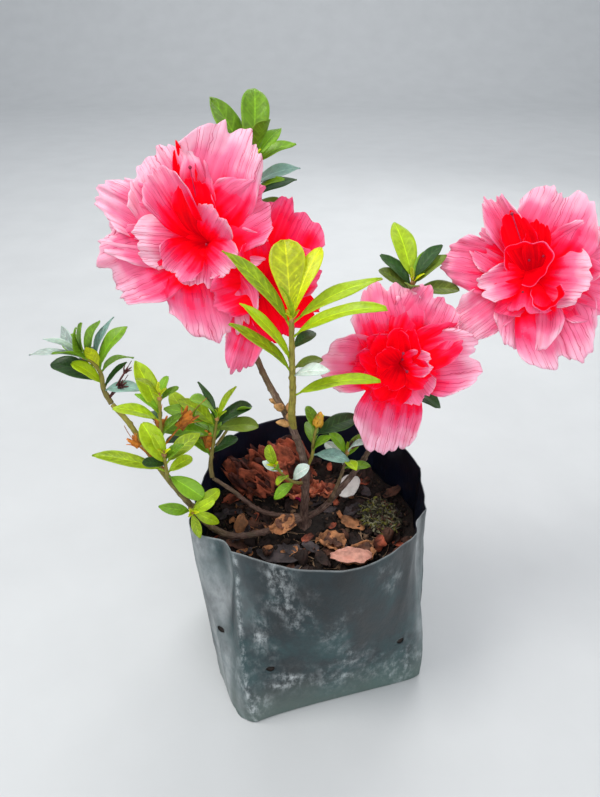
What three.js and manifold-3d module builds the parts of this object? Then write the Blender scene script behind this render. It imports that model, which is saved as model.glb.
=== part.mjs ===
// An azalea shrub in flower, in the black film bag that a nursery grows it in.
// Millimetres, +Z up. The origin is the middle of the bag's flat underside, and the
// front, where the blossom faces, looks towards -Y.

import * as THREE from 'three';
import { mergeVertices } from 'three/addons/utils/BufferGeometryUtils.js';
import Module from 'manifold-3d';

const wasm = await Module();
wasm.setup();

// Clearance between pieces that touch on the real plant
const GAP = 0.4;
// Features smaller than this are smoothed away where leaves and petals cross
const SLIVER = 0.1;
// How far a limb is kept from the ones that meet it
const CUT = 0.9;
// Points nearer than this are one point
const WELD = 1e-4;
// How exactly a clearance is met
const CLOSE = 0.02;
const SOIL_LINE = 88;
const STEM_FOOT = [-6, 0];

// The grow bag has a squarish bottom and opens to a round mouth with one folded corner.
// Bearings are in degrees in the bag's own frame, which is turned about +Z.
const BAG = {
  turn: 14.4,
  halfLength: 50,
  halfWidth: 41,
  squareness: 12,
  mouthRadius: 52.5,
  mouthCentre: [-2, -1],
  height: 115,
  rimSway: 3.5,
  rimHighSide: 95,
  // slight waves of the rim: height, how many, phase
  rimWaves: [[0.9, 3, 1], [0.5, 5, 2]],
  foldBearing: -169,
  foldReach: 8,
  foldWidth: 13,
  belly: 0.9,
  bellyTop: 0.83,
  bulge: 6,
  bulgeBearing: 178,
  bulgeWidth: 40,
  flat: 2.5,
  flatBearing: -115,
  flatWidth: 26,
  wall: 0.9,
  floor: 1.2,
  bottomEdge: 1.2,
  drainHole: 2.2,
  drainSides: 6,
  punchLength: 8,
  drainBearings: [-155, -128, -51.5, 30, 100, 160],
  drainHeights: [56, 42.5, 40.5, 58, 42, 56],
};

// Limbs: routes from foot to tip, with the radius at each end and the flare at the foot
const LIMBS = {
  main_stem: {
    route: [[-6, 0, 88.35], [-6, 0, 93], [-5.5, -3, 124], [-8.4, -5, 141], [-14, -5, 157], [-23, 2, 172],
      [-31, 13, 188], [-38, 21, 203]],
    radii: [2.4, 1.15],
    flare: 3.4,
    flareHeight: 3.2,
    sides: 8,
    steps: 16,
  },
  left_bough: {
    route: [[-6, 0, 92.5], [-20, 1, 92.5], [-29, 0.5, 97], [-41, 0, 110], [-49, -0.5, 117.5]],
    radii: [1.7, 1.0],
  },
  far_left_bough: {
    route: [[-6, 0, 91.5], [-20, -8, 92], [-39, -18, 97.5], [-49.5, -21.5, 108.5], [-55.5, -21.5, 119],
      [-63.5, -21, 133], [-71, -17, 143.5], [-81, -9, 156], [-88, -4, 161.5]],
    radii: [1.9, 1.15],
  },
  right_bough: {
    route: [[-6, 0, 91], [3, 1, 97], [12, 2.5, 109], [22, 4.5, 125], [29, 8, 140], [34, 13, 156]],
    radii: [1.9, 1.2],
  },
  right_upper_bough: {
    route: [[34, 13, 156], [42, 18.5, 168], [54, 21, 175], [70, 22, 179.5], [82, 23.5, 186],
      [88, 24.4, 191.4]],
    radii: [1.15, 0.9],
  },
};

// Blossom: an open funnel whose foot is the flower's base and whose axis looks out of its throat.
// A petal is its bearing round that axis, its reach and its width, and how far its tip is lifted.
const BLOSSOM = {
  throat: 18,
  sheet: 0.75,
  petalRows: [0.2, 0.45, 0.72, 1],
  innerRows: [0.25, 0.6, 1],
  innerColumns: [-1, 0, 1],
  innerReach: 26,
  petalColumns: [-1, -0.36, 0.36, 1],
  calyx: 6,
  // height along the axis and radius of the calyx and the funnel's tube
  tube: [[-6, 0.9], [-1, 2], [5, 3.4], [12.5, 5.8]],
  tubeSides: 7,
  stalkRadii: [1.05, 1.0],
  stalkSink: 1.5,
  // where the throat is fully climbed and where a petal is fully wide, as shares of its length
  climbed: 0.55,
  fullWidth: 0.72,
  footWidth: 0.12,
  widening: 1.2,
  tipRounding: 0.22,
  tipNarrowing: 0.5,
  spread: 1.5,
  roll: 0.1,
  ruffle: 0.07,
  ruffleWaves: [4.4, 1.5],
  slant: 0.2,
};
const BLOOMS = {
  bloom_upper: {
    flowers: [
      {
        stalk: [[-38.25, 21.3, 203.4], [-40, 25.5, 208], [-41.5, 30, 213.5]],
        foot: [-44.4, 27, 221.5],
        axis: [-0.12, -0.93, 0.35],
        seed: 11,
        petals: [
          [70, 45, 27, 0.02], [48, 37, 20, 0], [116, 39, 26, 0.06], [157, 43, 24, 0.02],
          [184, 35, 20, -0.04],
          [213, 38, 23, -0.04], [276, 37, 34, -0.02],
          [35, 25, 21, 0.3], [130, 24, 20, 0.34], [225, 23, 19, 0.3],
        ],
      },
      {
        stalk: [[-39.5, 24.6, 207], [-34, 26.5, 203.5], [-28.5, 28.5, 202.5]],
        foot: [-24.5, 21.5, 206],
        axis: [0.08, -0.93, 0.36],
        seed: 23,
        petals: [
          [62, 29, 23, -0.06], [-22, 24, 22, -0.02], [-76, 27, 22, 0.02], [251, 35, 20, -0.03],
          [15, 18, 16, 0.25],
        ],
      },
    ],
  },
  bloom_centre: {
    flowers: [
      {
        stalk: [[34.2, 13.3, 156.6], [36, 17.5, 161.5]],
        foot: [36.5, 17, 170.5],
        axis: [-0.17, -0.9, 0.4],
        seed: 37,
        petals: [
          [103, 35, 26, 0], [52, 34, 22, 0], [10, 34, 24, -0.02], [-103, 38, 26, -0.03], [177, 32, 24, 0],
          [60, 20, 17, 0.3], [165, 20, 17, 0.32], [-75, 19, 16, 0.3],
        ],
      },
    ],
  },
  bloom_right: {
    flowers: [
      {
        stalk: [[88.3, 24.6, 191.8], [91.5, 28, 197]],
        foot: [90.5, 24, 207],
        axis: [-0.33, -0.85, 0.42],
        seed: 53,
        petals: [
          [178, 37, 18, 0.04], [111, 33, 13, 0.1], [60, 34, 28, 0], [5, 32, 24, -0.04], [-51, 34, 33, -0.04],
          [230, 36, 19, -0.02],
          [88, 24, 18, 0.28], [150, 20, 16, 0.3], [-60, 20, 17, 0.3],
        ],
      },
    ],
  },
};

// Leaves: each shoot is a twig with a whorl from a share of its length to its tip. Leaves turn by
// one angle after another, rise from low to high, and taper in length; draws stir all three.
const LEAF = {
  widthShare: 0.34,
  petiole: 0.1,
  fold: 0.22,
  bow: 0.1,
  thickShare: 0.022,
  thickLeast: 0.6,
  ringShares: [0, 0.34, 0.74],
  // how the blade's widest part lies beyond its middle, how full its outline is, and its least half width
  swellShift: 1.15,
  fullness: 0.9,
  halfLeast: 0.5,
  stirBearing: 22,
  stirRise: 12,
  stirLength: 0.16,
};
const MASSES = {
  foliage_light_shoot: {
    stem: [[-11, -5, 150], [-11.5, -8.5, 160], [-11, -9, 170], [-11.2, -9.5, 190], [-11.2, -10, 204]],
    radius: 1.15,
    // share of the stem, bearing, rise, length
    placed: [
      [0.36, 350, 22, 37], [0.54, 338, 20, 17], [0.56, 181, 45, 33], [0.6, 28, 2, 14], [0.64, 180, 55, 33],
      [0.76, 49, 10, 14], [0.86, 342, 29, 40], [0.93, 160, 47, 39], [0.96, 100, 62, 32], [0.975, 22, 18, 40],
      [0.985, 48, 58, 30], [0.99, 235, 68, 18],
    ],
    broad: 1.25,
  },
  foliage_top: {
    stem: [[-36.5, 21.5, 201], [-34, 26, 212], [-33, 30, 224], [-29.5, 31, 238], [-26, 31, 254]],
    radius: 1.1,
    shoots: [
      { foot: [-33.5, 29, 219], tip: [-26, 31, 254], count: 5, start: 0, length: 20, taper: 0.1,
        seed: 1051, first: 75, turn: 137.5, low: 10, high: 60 },
    ],
    placed: [
      [0.86, 150, 44, 34], [0.955, 106, 56, 30], [0.945, 5, 38, 19], [0.79, 4, 33, 22], [0.7, 10, 34, 22],
      [0.61, 358, 30, 18], [0.97, 54, 42, 19],
    ],
    broad: 1.15,
  },
  foliage_centre: {
    stem: [[40, 17.5, 167], [39.5, 22, 178], [39, 22, 190], [39.4, 20.5, 207]],
    radius: 1.0,
    shoots: [
      { foot: [39.5, 21, 176], tip: [39.4, 20, 208], count: 6, start: 0, length: 18, taper: 0.1,
        seed: 77, first: 60, turn: 137.5, low: -5, high: 50 },
    ],
    placed: [
      [0.98, 109, 38, 29], [0.93, 150, 36, 19.5], [0.87, 156, 27, 17], [0.955, 10, 46, 18.5],
      [0.87, 352, 12, 20], [0.985, 50, 55, 15],
    ],
    broad: 1.15,
  },
  foliage_far_left: {
    stem: [[-88.5, -3.6, 161.9], [-91, -2.4, 167.9], [-91.3, -1.4, 175.7], [-93.9, -0.6, 180],
      [-97.3, 0, 182.5]],
    radius: 1.1,
    shoots: [
      { foot: [-91.3, -1, 176], tip: [-97.3, 0, 182.5], count: 3, start: 0, length: 19, taper: 0.1,
        seed: 5228, first: 70, turn: 30, low: -10, high: 25 },
    ],
    placed: [
      [0.93, 205, 62, 22.6], [0.93, 280, 72, 18.8], [0.97, 46, 68, 17], [0.97, 323, 25, 17],
      [0.93, 350, 32, 16], [0.9, 37, 22, 18], [0.78, 34, 28, 21.9], [0.66, 13, 31, 22], [0.62, 280, 78, 12.8],
      [0.9, 250, 55, 15],
      [0.42, 179, 21, 22], [0.38, 197, 45, 15.6], [0.3, 44, 29, 15.2], [0.27, 349, -6, 17],
    ],
    broad: 1.35,
  },
  foliage_left_low: {
    stem: [[-64, -21, 134], [-63.6, -24, 140], [-63, -26, 152]],
    radius: 0.95,
    shoots: [
      { foot: [-63.6, -24, 140], tip: [-63, -26, 152], count: 4, start: 0.2, length: 12, taper: 0.1,
        seed: 2186, first: 90, turn: 137.5, low: 10, high: 75 },
    ],
    placed: [
      [0.65, 141, 55, 20.4], [0.46, 175, 12, 31], [0.69, 36, 28, 19], [0.39, 40, 5, 12.5],
      [0.31, 335, -20, 18],
    ],
    broad: 1.35,
  },
  foliage_left_tall: {
    stem: [[-67.5, -19, 138.6], [-66.5, -18.5, 146], [-65.8, -16.5, 154.2], [-65.5, -14.5, 162.9],
      [-65, -13, 170.8]],
    radius: 0.95,
    shoots: [
      { foot: [-66, -17, 152], tip: [-65, -13, 170.8], count: 4, start: 0, length: 15, taper: 0.1,
        seed: 1310, first: 90, turn: 40, low: 0, high: 50 },
    ],
    placed: [
      [0.71, 150, 62, 26], [0.69, 190, 20, 19.5], [0.96, 25, 33, 9.5], [0.98, 55, 64, 10],
      [0.5, 30, 42, 12.2],
    ],
    broad: 1.15,
  },
  foliage_left_rim: {
    stem: [[-56.5, -22, 119], [-55, -26, 121], [-54, -29.5, 123.5]],
    radius: 0.8,
    shoots: [
      { foot: [-56, -23.5, 119.5], tip: [-54, -29.5, 123.5], count: 5, start: 0.2, length: 15, taper: 0.1,
        seed: 9876, first: 310, turn: 106, low: 0, high: 25 },
    ],
    broad: 1.15,
  },
  foliage_left_rear: {
    stem: [[-49.3, -0.4, 118], [-50, 2, 124], [-48, 5, 135], [-46, 8, 146]],
    radius: 1.0,
    shoots: [
      { foot: [-49, 4, 126], tip: [-46, 8, 146], count: 5, start: 0.1, length: 21, taper: 0.1,
        seed: 3945, first: 60, turn: 40, low: 0, high: 45 },
      { foot: [-49, 4, 126], tip: [-58, 9, 142], twig: true, count: 4, start: 0.4, length: 19, taper: 0.1,
        seed: 518, first: 60, turn: 137.5, low: 5, high: 60 },
      { foot: [-47, 6, 132], tip: [-36, 14, 146], twig: true, count: 4, start: 0.45, length: 17, taper: 0.1,
        seed: 902, first: 20, turn: 137.5, low: 10, high: 60 },
    ],
    placed: [
      [0.93, 160, 56, 20.5], [0.97, 35, 66, 18], [0.9, 15, 36, 18.4], [0.8, 5, 15, 20], [0.85, 185, 14, 25],
      [0.7, 195, 2, 23.5], [0.6, 110, 70, 15.4], [0.4, 20, 38, 14], [0.35, 175, 34, 17],
    ],
    broad: 1.35,
  },
  foliage_inner: {
    stem: [[-5.8, -1, 116], [-9, -5.5, 119], [-14, -8, 124], [-18.5, -9, 131]],
    radius: 0.8,
    shoots: [
      { foot: [-9, -5.5, 119], tip: [-18.5, -9, 131], count: 8, start: 0.1, length: 12.5, taper: 0.1,
        seed: 641, first: 200, turn: 137.5, low: 10, high: 60 },
    ],
    broad: 1.45,
  },
  foliage_bud_shoot: {
    stem: [[-5.6, -2.5, 125], [-2.6, -3.4, 133], [-1.8, -3.2, 143], [0, -3, 152]],
    radius: 0.85,
    placed: [
      [0.35, 350, 5, 17], [0.42, 330, 55, 14], [0.5, 95, 15, 15], [0.72, 14, 28, 21], [0.8, 130, 45, 12],
    ],
    broad: 1.35,
  },
  foliage_small_right: {
    stem: [[6, 1.4, 100.6], [8, -1.6, 109], [11.5, -2, 122], [13.5, -1.5, 134]],
    radius: 0.95,
    shoots: [
      { foot: [11.8, -2, 124], tip: [13.5, -1.5, 134], count: 6, start: 0.1, length: 13.5, taper: 0.1,
        seed: 333, first: 350, turn: 137.5, low: 0, high: 45 },
    ],
    broad: 1.2,
  },
  foliage_behind_centre: {
    stem: [[31.5, 9.8, 146.5], [37, 11.5, 152], [44.5, 13, 157.3]],
    radius: 0.85,
    shoots: [
      { foot: [37, 11.5, 152], tip: [44.5, 13, 157.3], count: 4, start: 0, length: 14, taper: 0.1,
        seed: 712, first: 80, turn: 137.5, low: 0, high: 45 },
    ],
    placed: [[0.94, 352, 28, 14]],
    broad: 1.6,
  },
  foliage_behind_upper: {
    stem: [[-33, 15.2, 192], [-35, 24, 198], [-42, 33, 208], [-52, 38, 219]],
    radius: 1.0,
    shoots: [
      { foot: [-42, 33, 208], tip: [-52, 38, 219], count: 8, start: 0, length: 23, taper: 0.1,
        seed: 415, first: 100, turn: 137.5, low: 5, high: 50 },
    ],
    broad: 1.2,
  },
  foliage_behind_right: {
    stem: [[84, 23.8, 187.4], [87, 29, 188], [93, 34, 192], [97, 35.5, 200]],
    radius: 0.9,
    shoots: [
      { foot: [89, 31, 189], tip: [97, 35.5, 200], count: 8, start: 0, length: 23, taper: 0.1,
        seed: 268, first: 250, turn: 137.5, low: -5, high: 45 },
    ],
    broad: 1.2,
  },
};

// Litter on the soil: crumpled flowers and leaves, as centre over the soil, half sizes, turn and tilt
const LITTER = {
  withered_petals: { centre: [-5, 19, 96], half: [17, 6.5, 4.5], turn: 4, tilt: 4, crumple: 0.26, seed: 8 },
  withered_bloom: { centre: [-23, 18, 107], half: [20, 6.5, 16], turn: -12, tilt: 30, crumple: 0.24, seed: 5 },
  pale_flake: { centre: [17, 19, 94], half: [5, 9, 1.3], turn: -20, tilt: 10, crumple: 0.12, seed: 13 },
  dead_leaf_left: {
    centre: [-32, -5, 89], half: [8.5, 4, 2.2], turn: 24, tilt: -4, crumple: 0.18, seed: 21,
  },
  dead_leaf_front: {
    centre: [-17, -20, 93], half: [13, 5.5, 1.8], turn: -12, tilt: 8, crumple: 0.16, seed: 34,
  },
  crumpled_leaf_left: {
    centre: [-16, -11, 94], half: [6.5, 5, 3.4], turn: 20, tilt: 0, crumple: 0.26, seed: 89,
  },
  crumpled_leaf_middle: {
    centre: [7, -14, 94], half: [7, 5.5, 3.6], turn: -30, tilt: 0, crumple: 0.28, seed: 144,
  },
  crumpled_leaf_right: {
    centre: [20, -21, 94], half: [9, 5.5, 3.6], turn: 25, tilt: 8, crumple: 0.26, seed: 233,
  },
  dead_leaf_rim: { centre: [15.5, -27, 99], half: [9, 4.5, 2.2], turn: -6, tilt: 6, crumple: 0.2, seed: 55 },
  moss_tuft: { centre: [32, 2, 93], half: [11, 14, 3.2], turn: 10, tilt: 0, crumple: 0.3, seed: 377 },
};

// Finishes, as colour, roughness and metalness
const FINISHES = {
  film: ['#39434a', 0.42],
  soil: ['#2a211c', 0.95],
  bark: ['#6b4a3a', 0.8],
  leaf: ['#5f9a24', 0.5],
  petal: ['#f4567f', 0.6],
  litter: ['#8a5236', 0.85],
  flake: ['#cfcac2', 0.8],
  moss: ['#5d5a2e', 0.9],
};
const LITTER_FINISH = { pale_flake: 'flake', moss_tuft: 'moss' };

const radians = THREE.MathUtils.degToRad;
const mix = THREE.MathUtils.lerp;
const at = ([x, y, z]) => new THREE.Vector3(x, y, z);
const along = (point, direction, distance) => point.clone().addScaledVector(direction, distance);

// Seeded draws between 0 and 1
function draws(seed) {
  let state = seed >>> 0;
  const next = () => {
    state = (Math.imul(state, 1664525) + 1013904223) >>> 0;
    return state / 4294967296;
  };
  next();
  next();
  return next;
}

// A solid from points and faces, turned so that its faces point out
function solidOf(points, faces) {
  const wedge = ([a, b, c]) => points[a].dot(points[b].clone().cross(points[c]));
  const volume = faces.reduce((sum, face) => sum + wedge(face), 0);
  const outward = volume > 0 ? faces : faces.map(([a, b, c]) => [a, c, b]);
  return new wasm.Manifold(new wasm.Mesh({
    numProp: 3,
    vertProperties: Float32Array.from(points.flatMap((p) => [p.x, p.y, p.z])),
    triVerts: Uint32Array.from(outward.flat()),
  }));
}

// The mean of a ring's points
function middle(ring) {
  const sum = ring.reduce((total, p) => total.add(p), new THREE.Vector3());
  return sum.divideScalar(ring.length);
}

// A closed skin through rings of equal count, closed by a fan at each end
function loft(rings, tip = middle(rings.at(-1))) {
  const count = rings[0].length;
  const points = rings.flat();
  const faces = [];
  for (let level = 1; level < rings.length; level += 1) {
    for (let i = 0; i < count; i += 1) {
      const [a, b] = [(level - 1) * count + i, (level - 1) * count + ((i + 1) % count)];
      faces.push([a, b, b + count], [a, b + count, a + count]);
    }
  }
  const [foot, end, last] = [points.length, points.length + 1, points.length - count];
  for (let i = 0; i < count; i += 1) {
    const next = (i + 1) % count;
    faces.push([foot, next, i], [end, last + i, last + next]);
  }
  return solidOf([...points, middle(rings[0]), tip], faces);
}

// A closed sheet of even thickness over a grid of points
function sheet(grid, thickness) {
  const [rows, columns] = [grid.length, grid[0].length];
  const inside = (value, count) => Math.min(count - 1, Math.max(0, value));
  const normal = (r, c) => {
    const down = grid[inside(r + 1, rows)][c].clone().sub(grid[inside(r - 1, rows)][c]);
    const across = grid[r][inside(c + 1, columns)].clone().sub(grid[r][inside(c - 1, columns)]);
    return across.cross(down).normalize();
  };
  const shifted = (p, r, c, sign) => along(p, normal(r, c), (sign * thickness) / 2);
  const side = (sign) => grid.flatMap((row, r) => row.map((p, c) => shifted(p, r, c, sign)));
  const points = [...side(1), ...side(-1)];
  const under = rows * columns;
  const faces = [];
  for (let r = 1; r < rows; r += 1) {
    for (let c = 1; c < columns; c += 1) {
      const [a, b] = [(r - 1) * columns + c - 1, (r - 1) * columns + c];
      const [d, e] = [a + columns, b + columns];
      faces.push([a, d, e], [a, e, b], [under + a, under + e, under + d], [under + a, under + b, under + e]);
    }
  }
  const edge = [];
  for (let c = 0; c < columns - 1; c += 1) edge.push(c);
  for (let r = 0; r < rows - 1; r += 1) edge.push(r * columns + columns - 1);
  for (let c = columns - 1; c > 0; c -= 1) edge.push((rows - 1) * columns + c);
  for (let r = rows - 1; r > 0; r -= 1) edge.push(r * columns);
  edge.forEach((a, i) => {
    const b = edge[(i + 1) % edge.length];
    faces.push([a, b, under + b], [a, under + b, under + a]);
  });
  return solidOf(points, faces);
}

// The biggest body of a solid, without the scraps and the sealed hollows that a cut leaves
function biggest(solid) {
  return solid.decompose().reduce((best, body) => (body.volume() > best.volume() ? body : best));
}

const union = (solids) => wasm.Manifold.union(solids);

// One body without slivers
const tidied = (solid) => biggest(solid.simplify(SLIVER));

// Two directions square to an axis: the first as near +X as can be
function crossFrame(axis) {
  const first = new THREE.Vector3(1, 0, 0);
  first.addScaledVector(axis, -first.dot(axis)).normalize();
  return [first, axis.clone().cross(first)];
}

// A flared foot spreads in lobes, and its rings crowd towards its end
const FLARE = { lobes: 3, lobeHeight: 0.3, crowding: 1.6 };

// A tapering limb along a smooth route; extra makes it that much fatter and longer at each end
function limb({ route, radii, flare = 0, flareHeight = 1, sides = 6, steps = 11 }, extra = 0) {
  const knots = route.map(at);
  const lengthened = (end, before) => along(end, end.clone().sub(before).normalize(), extra);
  const ends = [lengthened(knots[0], knots[1]), lengthened(knots.at(-1), knots.at(-2))];
  const curve = new THREE.CatmullRomCurve3([ends[0], ...knots.slice(1, -1), ends[1]]);
  const frames = curve.computeFrenetFrames(steps, false);
  const length = curve.getLength();
  const rings = [];
  for (let step = 0; step <= steps; step += 1) {
    const share = (step / steps) ** (flare ? FLARE.crowding : 1);
    const centre = curve.getPointAt(share);
    const tangent = curve.getTangentAt(share);
    const normal = frames.normals[Math.round(share * steps)].clone();
    normal.addScaledVector(tangent, -normal.dot(tangent)).normalize();
    const binormal = tangent.clone().cross(normal);
    const spread = flare * Math.exp((-share * length) / flareHeight);
    const ring = [];
    for (let i = 0; i < sides; i += 1) {
      const bearing = (2 * Math.PI * i) / sides;
      const lobe = 1 + FLARE.lobeHeight * Math.cos(FLARE.lobes * bearing + 1);
      const radius = mix(radii[0], radii[1], share) + spread * lobe + extra;
      const out = along(centre, normal, radius * Math.cos(bearing));
      ring.push(along(out, binormal, radius * Math.sin(bearing)));
    }
    rings.push(ring);
  }
  return loft(rings);
}

// Columns round the bag, closer together at its bottom corners
const COLUMNS = 32;
const CORNER_CROWDING = 0.5;
const columnBearings = Array.from({ length: COLUMNS }, (_, i) => {
  const even = (2 * Math.PI * i) / COLUMNS;
  const crowded = even - (CORNER_CROWDING / 4) * Math.sin(4 * (even - Math.PI / 4));
  return Math.atan2(Math.sin(crowded) * BAG.halfWidth, Math.cos(crowded) * BAG.halfLength);
});

// The rim's height: higher at the back, with a slight wave
function rimHeight(bearing) {
  const sway = BAG.rimSway * Math.cos(bearing + radians(BAG.turn - BAG.rimHighSide));
  const wave = ([height, count, phase]) => height * Math.sin(count * bearing + phase);
  return BAG.rimWaves.reduce((sum, each) => sum + wave(each), BAG.height + sway);
}

// How much of a swelling at one bearing is felt at another: 1 at its middle, fading over its width
function nearness(bearing, middleDegrees, widthDegrees) {
  const off = bearing - radians(middleDegrees);
  return Math.exp(-((Math.atan2(Math.sin(off), Math.cos(off)) / radians(widthDegrees)) ** 2));
}

// A point on the bag's outside, drawn in by an inset, at a share of the rim's height
function bagPoint(bearing, share, inset = 0, height = share * rimHeight(bearing)) {
  const power = BAG.squareness;
  const across = Math.abs(Math.cos(bearing) / BAG.halfLength) ** power;
  const deep = Math.abs(Math.sin(bearing) / BAG.halfWidth) ** power;
  const bulge = BAG.bulge * nearness(bearing, BAG.bulgeBearing, BAG.bulgeWidth);
  const bottom = (across + deep) ** (-1 / power) + bulge;
  const mouth = BAG.mouthRadius + BAG.foldReach * nearness(bearing, BAG.foldBearing, BAG.foldWidth)
    - BAG.flat * nearness(bearing, BAG.flatBearing, BAG.flatWidth);
  const opening = share * share * (3 - 2 * share);
  const belly = BAG.belly * Math.sin(Math.PI * Math.min(1, share / BAG.bellyTop));
  const radius = mix(bottom, mouth, opening) + belly - inset;
  const world = bearing + radians(BAG.turn);
  return new THREE.Vector3(
    BAG.mouthCentre[0] * opening + radius * Math.cos(world),
    BAG.mouthCentre[1] * opening + radius * Math.sin(world),
    height,
  );
}

const bagRing = (share, inset, height) => columnBearings.map((b) => bagPoint(b, share, inset, height));

// The soil's edge lies at this share of the rim's height, where the bag has a ring of points too
const SOIL_SHARE = 0.745;
const OUTER_SHARES = [0.03, 0.25, 0.5, SOIL_SHARE, 1];

// A solid from a three.js geometry
function solidOfGeometry(geometry) {
  geometry.deleteAttribute('normal');
  geometry.deleteAttribute('uv');
  const merged = mergeVertices(geometry, WELD);
  const { position } = merged.attributes;
  const point = (_, k) => new THREE.Vector3().fromBufferAttribute(position, k);
  const points = Array.from({ length: position.count }, point);
  const corners = Array.from(merged.index.array);
  const faces = Array.from({ length: corners.length / 3 }, (_, k) => corners.slice(3 * k, 3 * k + 3));
  return solidOf(points, faces.filter(([a, b, c]) => a !== b && b !== c && c !== a));
}

function growBag() {
  const rings = [
    bagRing(0, BAG.bottomEdge, 0),
    ...OUTER_SHARES.map((share) => bagRing(share)),
    ...OUTER_SHARES.toReversed().map((share) => bagRing(share, BAG.wall)),
    bagRing(0, BAG.wall + BAG.bottomEdge, BAG.floor),
  ];
  const holes = BAG.drainBearings.map((degrees, i) => {
    const bearing = radians(degrees);
    const centre = bagPoint(bearing, BAG.drainHeights[i] / BAG.height);
    const world = bearing + radians(BAG.turn);
    const out = at([Math.cos(world), Math.sin(world), 0]);
    const punch = new THREE.CylinderGeometry(BAG.drainHole, BAG.drainHole, BAG.punchLength, BAG.drainSides);
    punch.applyQuaternion(new THREE.Quaternion().setFromUnitVectors(at([0, 1, 0]), out));
    punch.translate(centre.x, centre.y, centre.z);
    return solidOfGeometry(punch);
  });
  return loft(rings).subtract(union(holes));
}

// The soil fills the bag and is uneven on top, with a level patch under the main stem
const SOIL = { bumps: 0.9, ringShares: [0.84, 0.64, 0.44, 0.28], patch: 8.5, clearance: 0.8, bottomEdge: 1 };

function soilBody() {
  const inset = BAG.wall + SOIL.clearance;
  const foot = at([...STEM_FOOT, SOIL_LINE]);
  const sides = OUTER_SHARES.filter((share) => share <= SOIL_SHARE).map((share) => bagRing(share, inset));
  const topEdge = sides.at(-1);
  // Two crossing swells, 20 to 23 mm long, and a smaller slanting one
  const swell = (p) => Math.sin(0.31 * p.x + 0.4) * Math.cos(0.27 * p.y);
  const bump = (p) => swell(p) + 0.5 * Math.sin(0.63 * p.x - 0.5 * p.y);
  const surface = SOIL.ringShares.map((share) => topEdge.map((edge) => {
    const point = foot.clone().lerp(edge, share);
    point.z += SOIL.bumps * (bump(point) - 1);
    return point;
  }));
  const patch = topEdge.map((edge) => {
    const out = edge.clone().setZ(SOIL_LINE).sub(foot).normalize();
    return along(foot, out, SOIL.patch);
  });
  // From the top down, as the bag's inside runs, so that the two skins lie side by side
  const bottom = bagRing(0, inset + SOIL.bottomEdge, BAG.floor + GAP);
  return loft([bottom, ...sides, ...surface, patch].toReversed());
}

// Where the leaves of a shoot sit, and which way and how far they reach
function leafSpots({ foot, tip, count, start, length, taper, seed, first, turn, low, high }) {
  const root = at(foot);
  const run = at(tip).sub(root);
  const axis = run.clone().normalize();
  const draw = draws(seed);
  const stir = (most) => (2 * draw() - 1) * most;
  return Array.from({ length: count }, (_, i) => {
    const share = i / (count - 1);
    const bearing = first + i * turn + stir(LEAF.stirBearing);
    const rise = mix(low, high, share) + stir(LEAF.stirRise);
    const reach = length * (1 - taper * share) * (1 + stir(LEAF.stirLength));
    return leafSpot(along(root, run, mix(start, 1, share)), axis, bearing, rise, reach);
  });
}

function leafSpot(base, axis, bearing, rise, reach) {
  const [first, second] = crossFrame(axis);
  const out = first.multiplyScalar(Math.cos(radians(bearing)));
  out.addScaledVector(second, Math.sin(radians(bearing)));
  const climb = radians(rise);
  const direction = out.multiplyScalar(Math.cos(climb)).addScaledVector(axis, Math.sin(climb));
  return { base, axis, direction, reach };
}

// A leaf: a thin folded blade on a short petiole, arched along its length
function leafSolid({ base, axis, direction, reach }, broad) {
  const up = axis.clone().addScaledVector(direction, -axis.dot(direction)).normalize();
  const side = direction.clone().cross(up);
  const thick = Math.max(LEAF.thickLeast, LEAF.thickShare * reach);
  const arch = (share) => reach * LEAF.bow * 4 * share * (1 - share);
  const spine = (share) => along(along(base, direction, share * reach), up, arch(share));
  const rings = LEAF.ringShares.map((share) => {
    const blade = Math.max(0, (share - LEAF.petiole) / (1 - LEAF.petiole));
    const swell = Math.sin(Math.PI * blade ** LEAF.swellShift) ** LEAF.fullness;
    const half = Math.max(LEAF.halfLeast, (LEAF.widthShare * broad * reach * swell) / 2);
    const centre = spine(share);
    const edge = (sign) => along(along(centre, side, sign * half), up, LEAF.fold * half);
    return [edge(-1), along(centre, up, -thick / 2), edge(1), along(centre, up, thick / 2)];
  });
  return loft(rings, spine(1));
}

// Solids made so far, the limbs made fatter by the clearance, and the masses' bare wood, by name
const pieces = new Map();
const fattened = new Map();
const woods = new Map();

// Clear of the others, that is no nearer than the clearance
function isClear(solid, others) {
  return others.every((other) => solid.minGap(other, GAP) > GAP - CLOSE);
}

// What is left of a solid beside the limbs made so far
function cutClear(solid) {
  return biggest([...fattened.values()].reduce((rest, limbSpace) => rest.subtract(limbSpace), solid));
}

// Radii of a mass's stem and twigs at foot and tip, as shares of its own radius
const WOOD = { stem: [1, 0.6], twig: [0.8, 0.5] };

// The stem and twigs of a mass of foliage
function massWood({ stem, radius, shoots = [] }) {
  const twigs = shoots.filter(({ twig }) => twig).map(({ foot, tip }) => [foot, tip]);
  const sized = (shares) => shares.map((share) => share * radius);
  const wood = [
    limb({ route: stem, radii: sized(WOOD.stem), sides: 5, steps: 6 }),
    ...twigs.map((route) => limb({ route, radii: sized(WOOD.twig), sides: 4, steps: 2 })),
  ];
  return cutClear(union(wood));
}

// A mass of foliage: its wood with leaves fused on. A leaf that would touch anything outside
// the mass is left off.
function foliageMass(name, { stem, shoots = [], placed = [], broad }) {
  const others = [...pieces.values()];
  for (const [owner, wood] of woods) if (owner !== name) others.push(wood);
  const spots = shoots.flatMap(leafSpots);
  const curve = new THREE.CatmullRomCurve3(stem.map(at));
  for (const [share, bearing, rise, reach] of placed) {
    spots.push(leafSpot(curve.getPointAt(share), curve.getTangentAt(share), bearing, rise, reach));
  }
  const leaves = spots.map((spot) => leafSolid(spot, broad)).filter((leaf) => isClear(leaf, others));
  return tidied(union([woods.get(name), ...leaves]));
}

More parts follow.
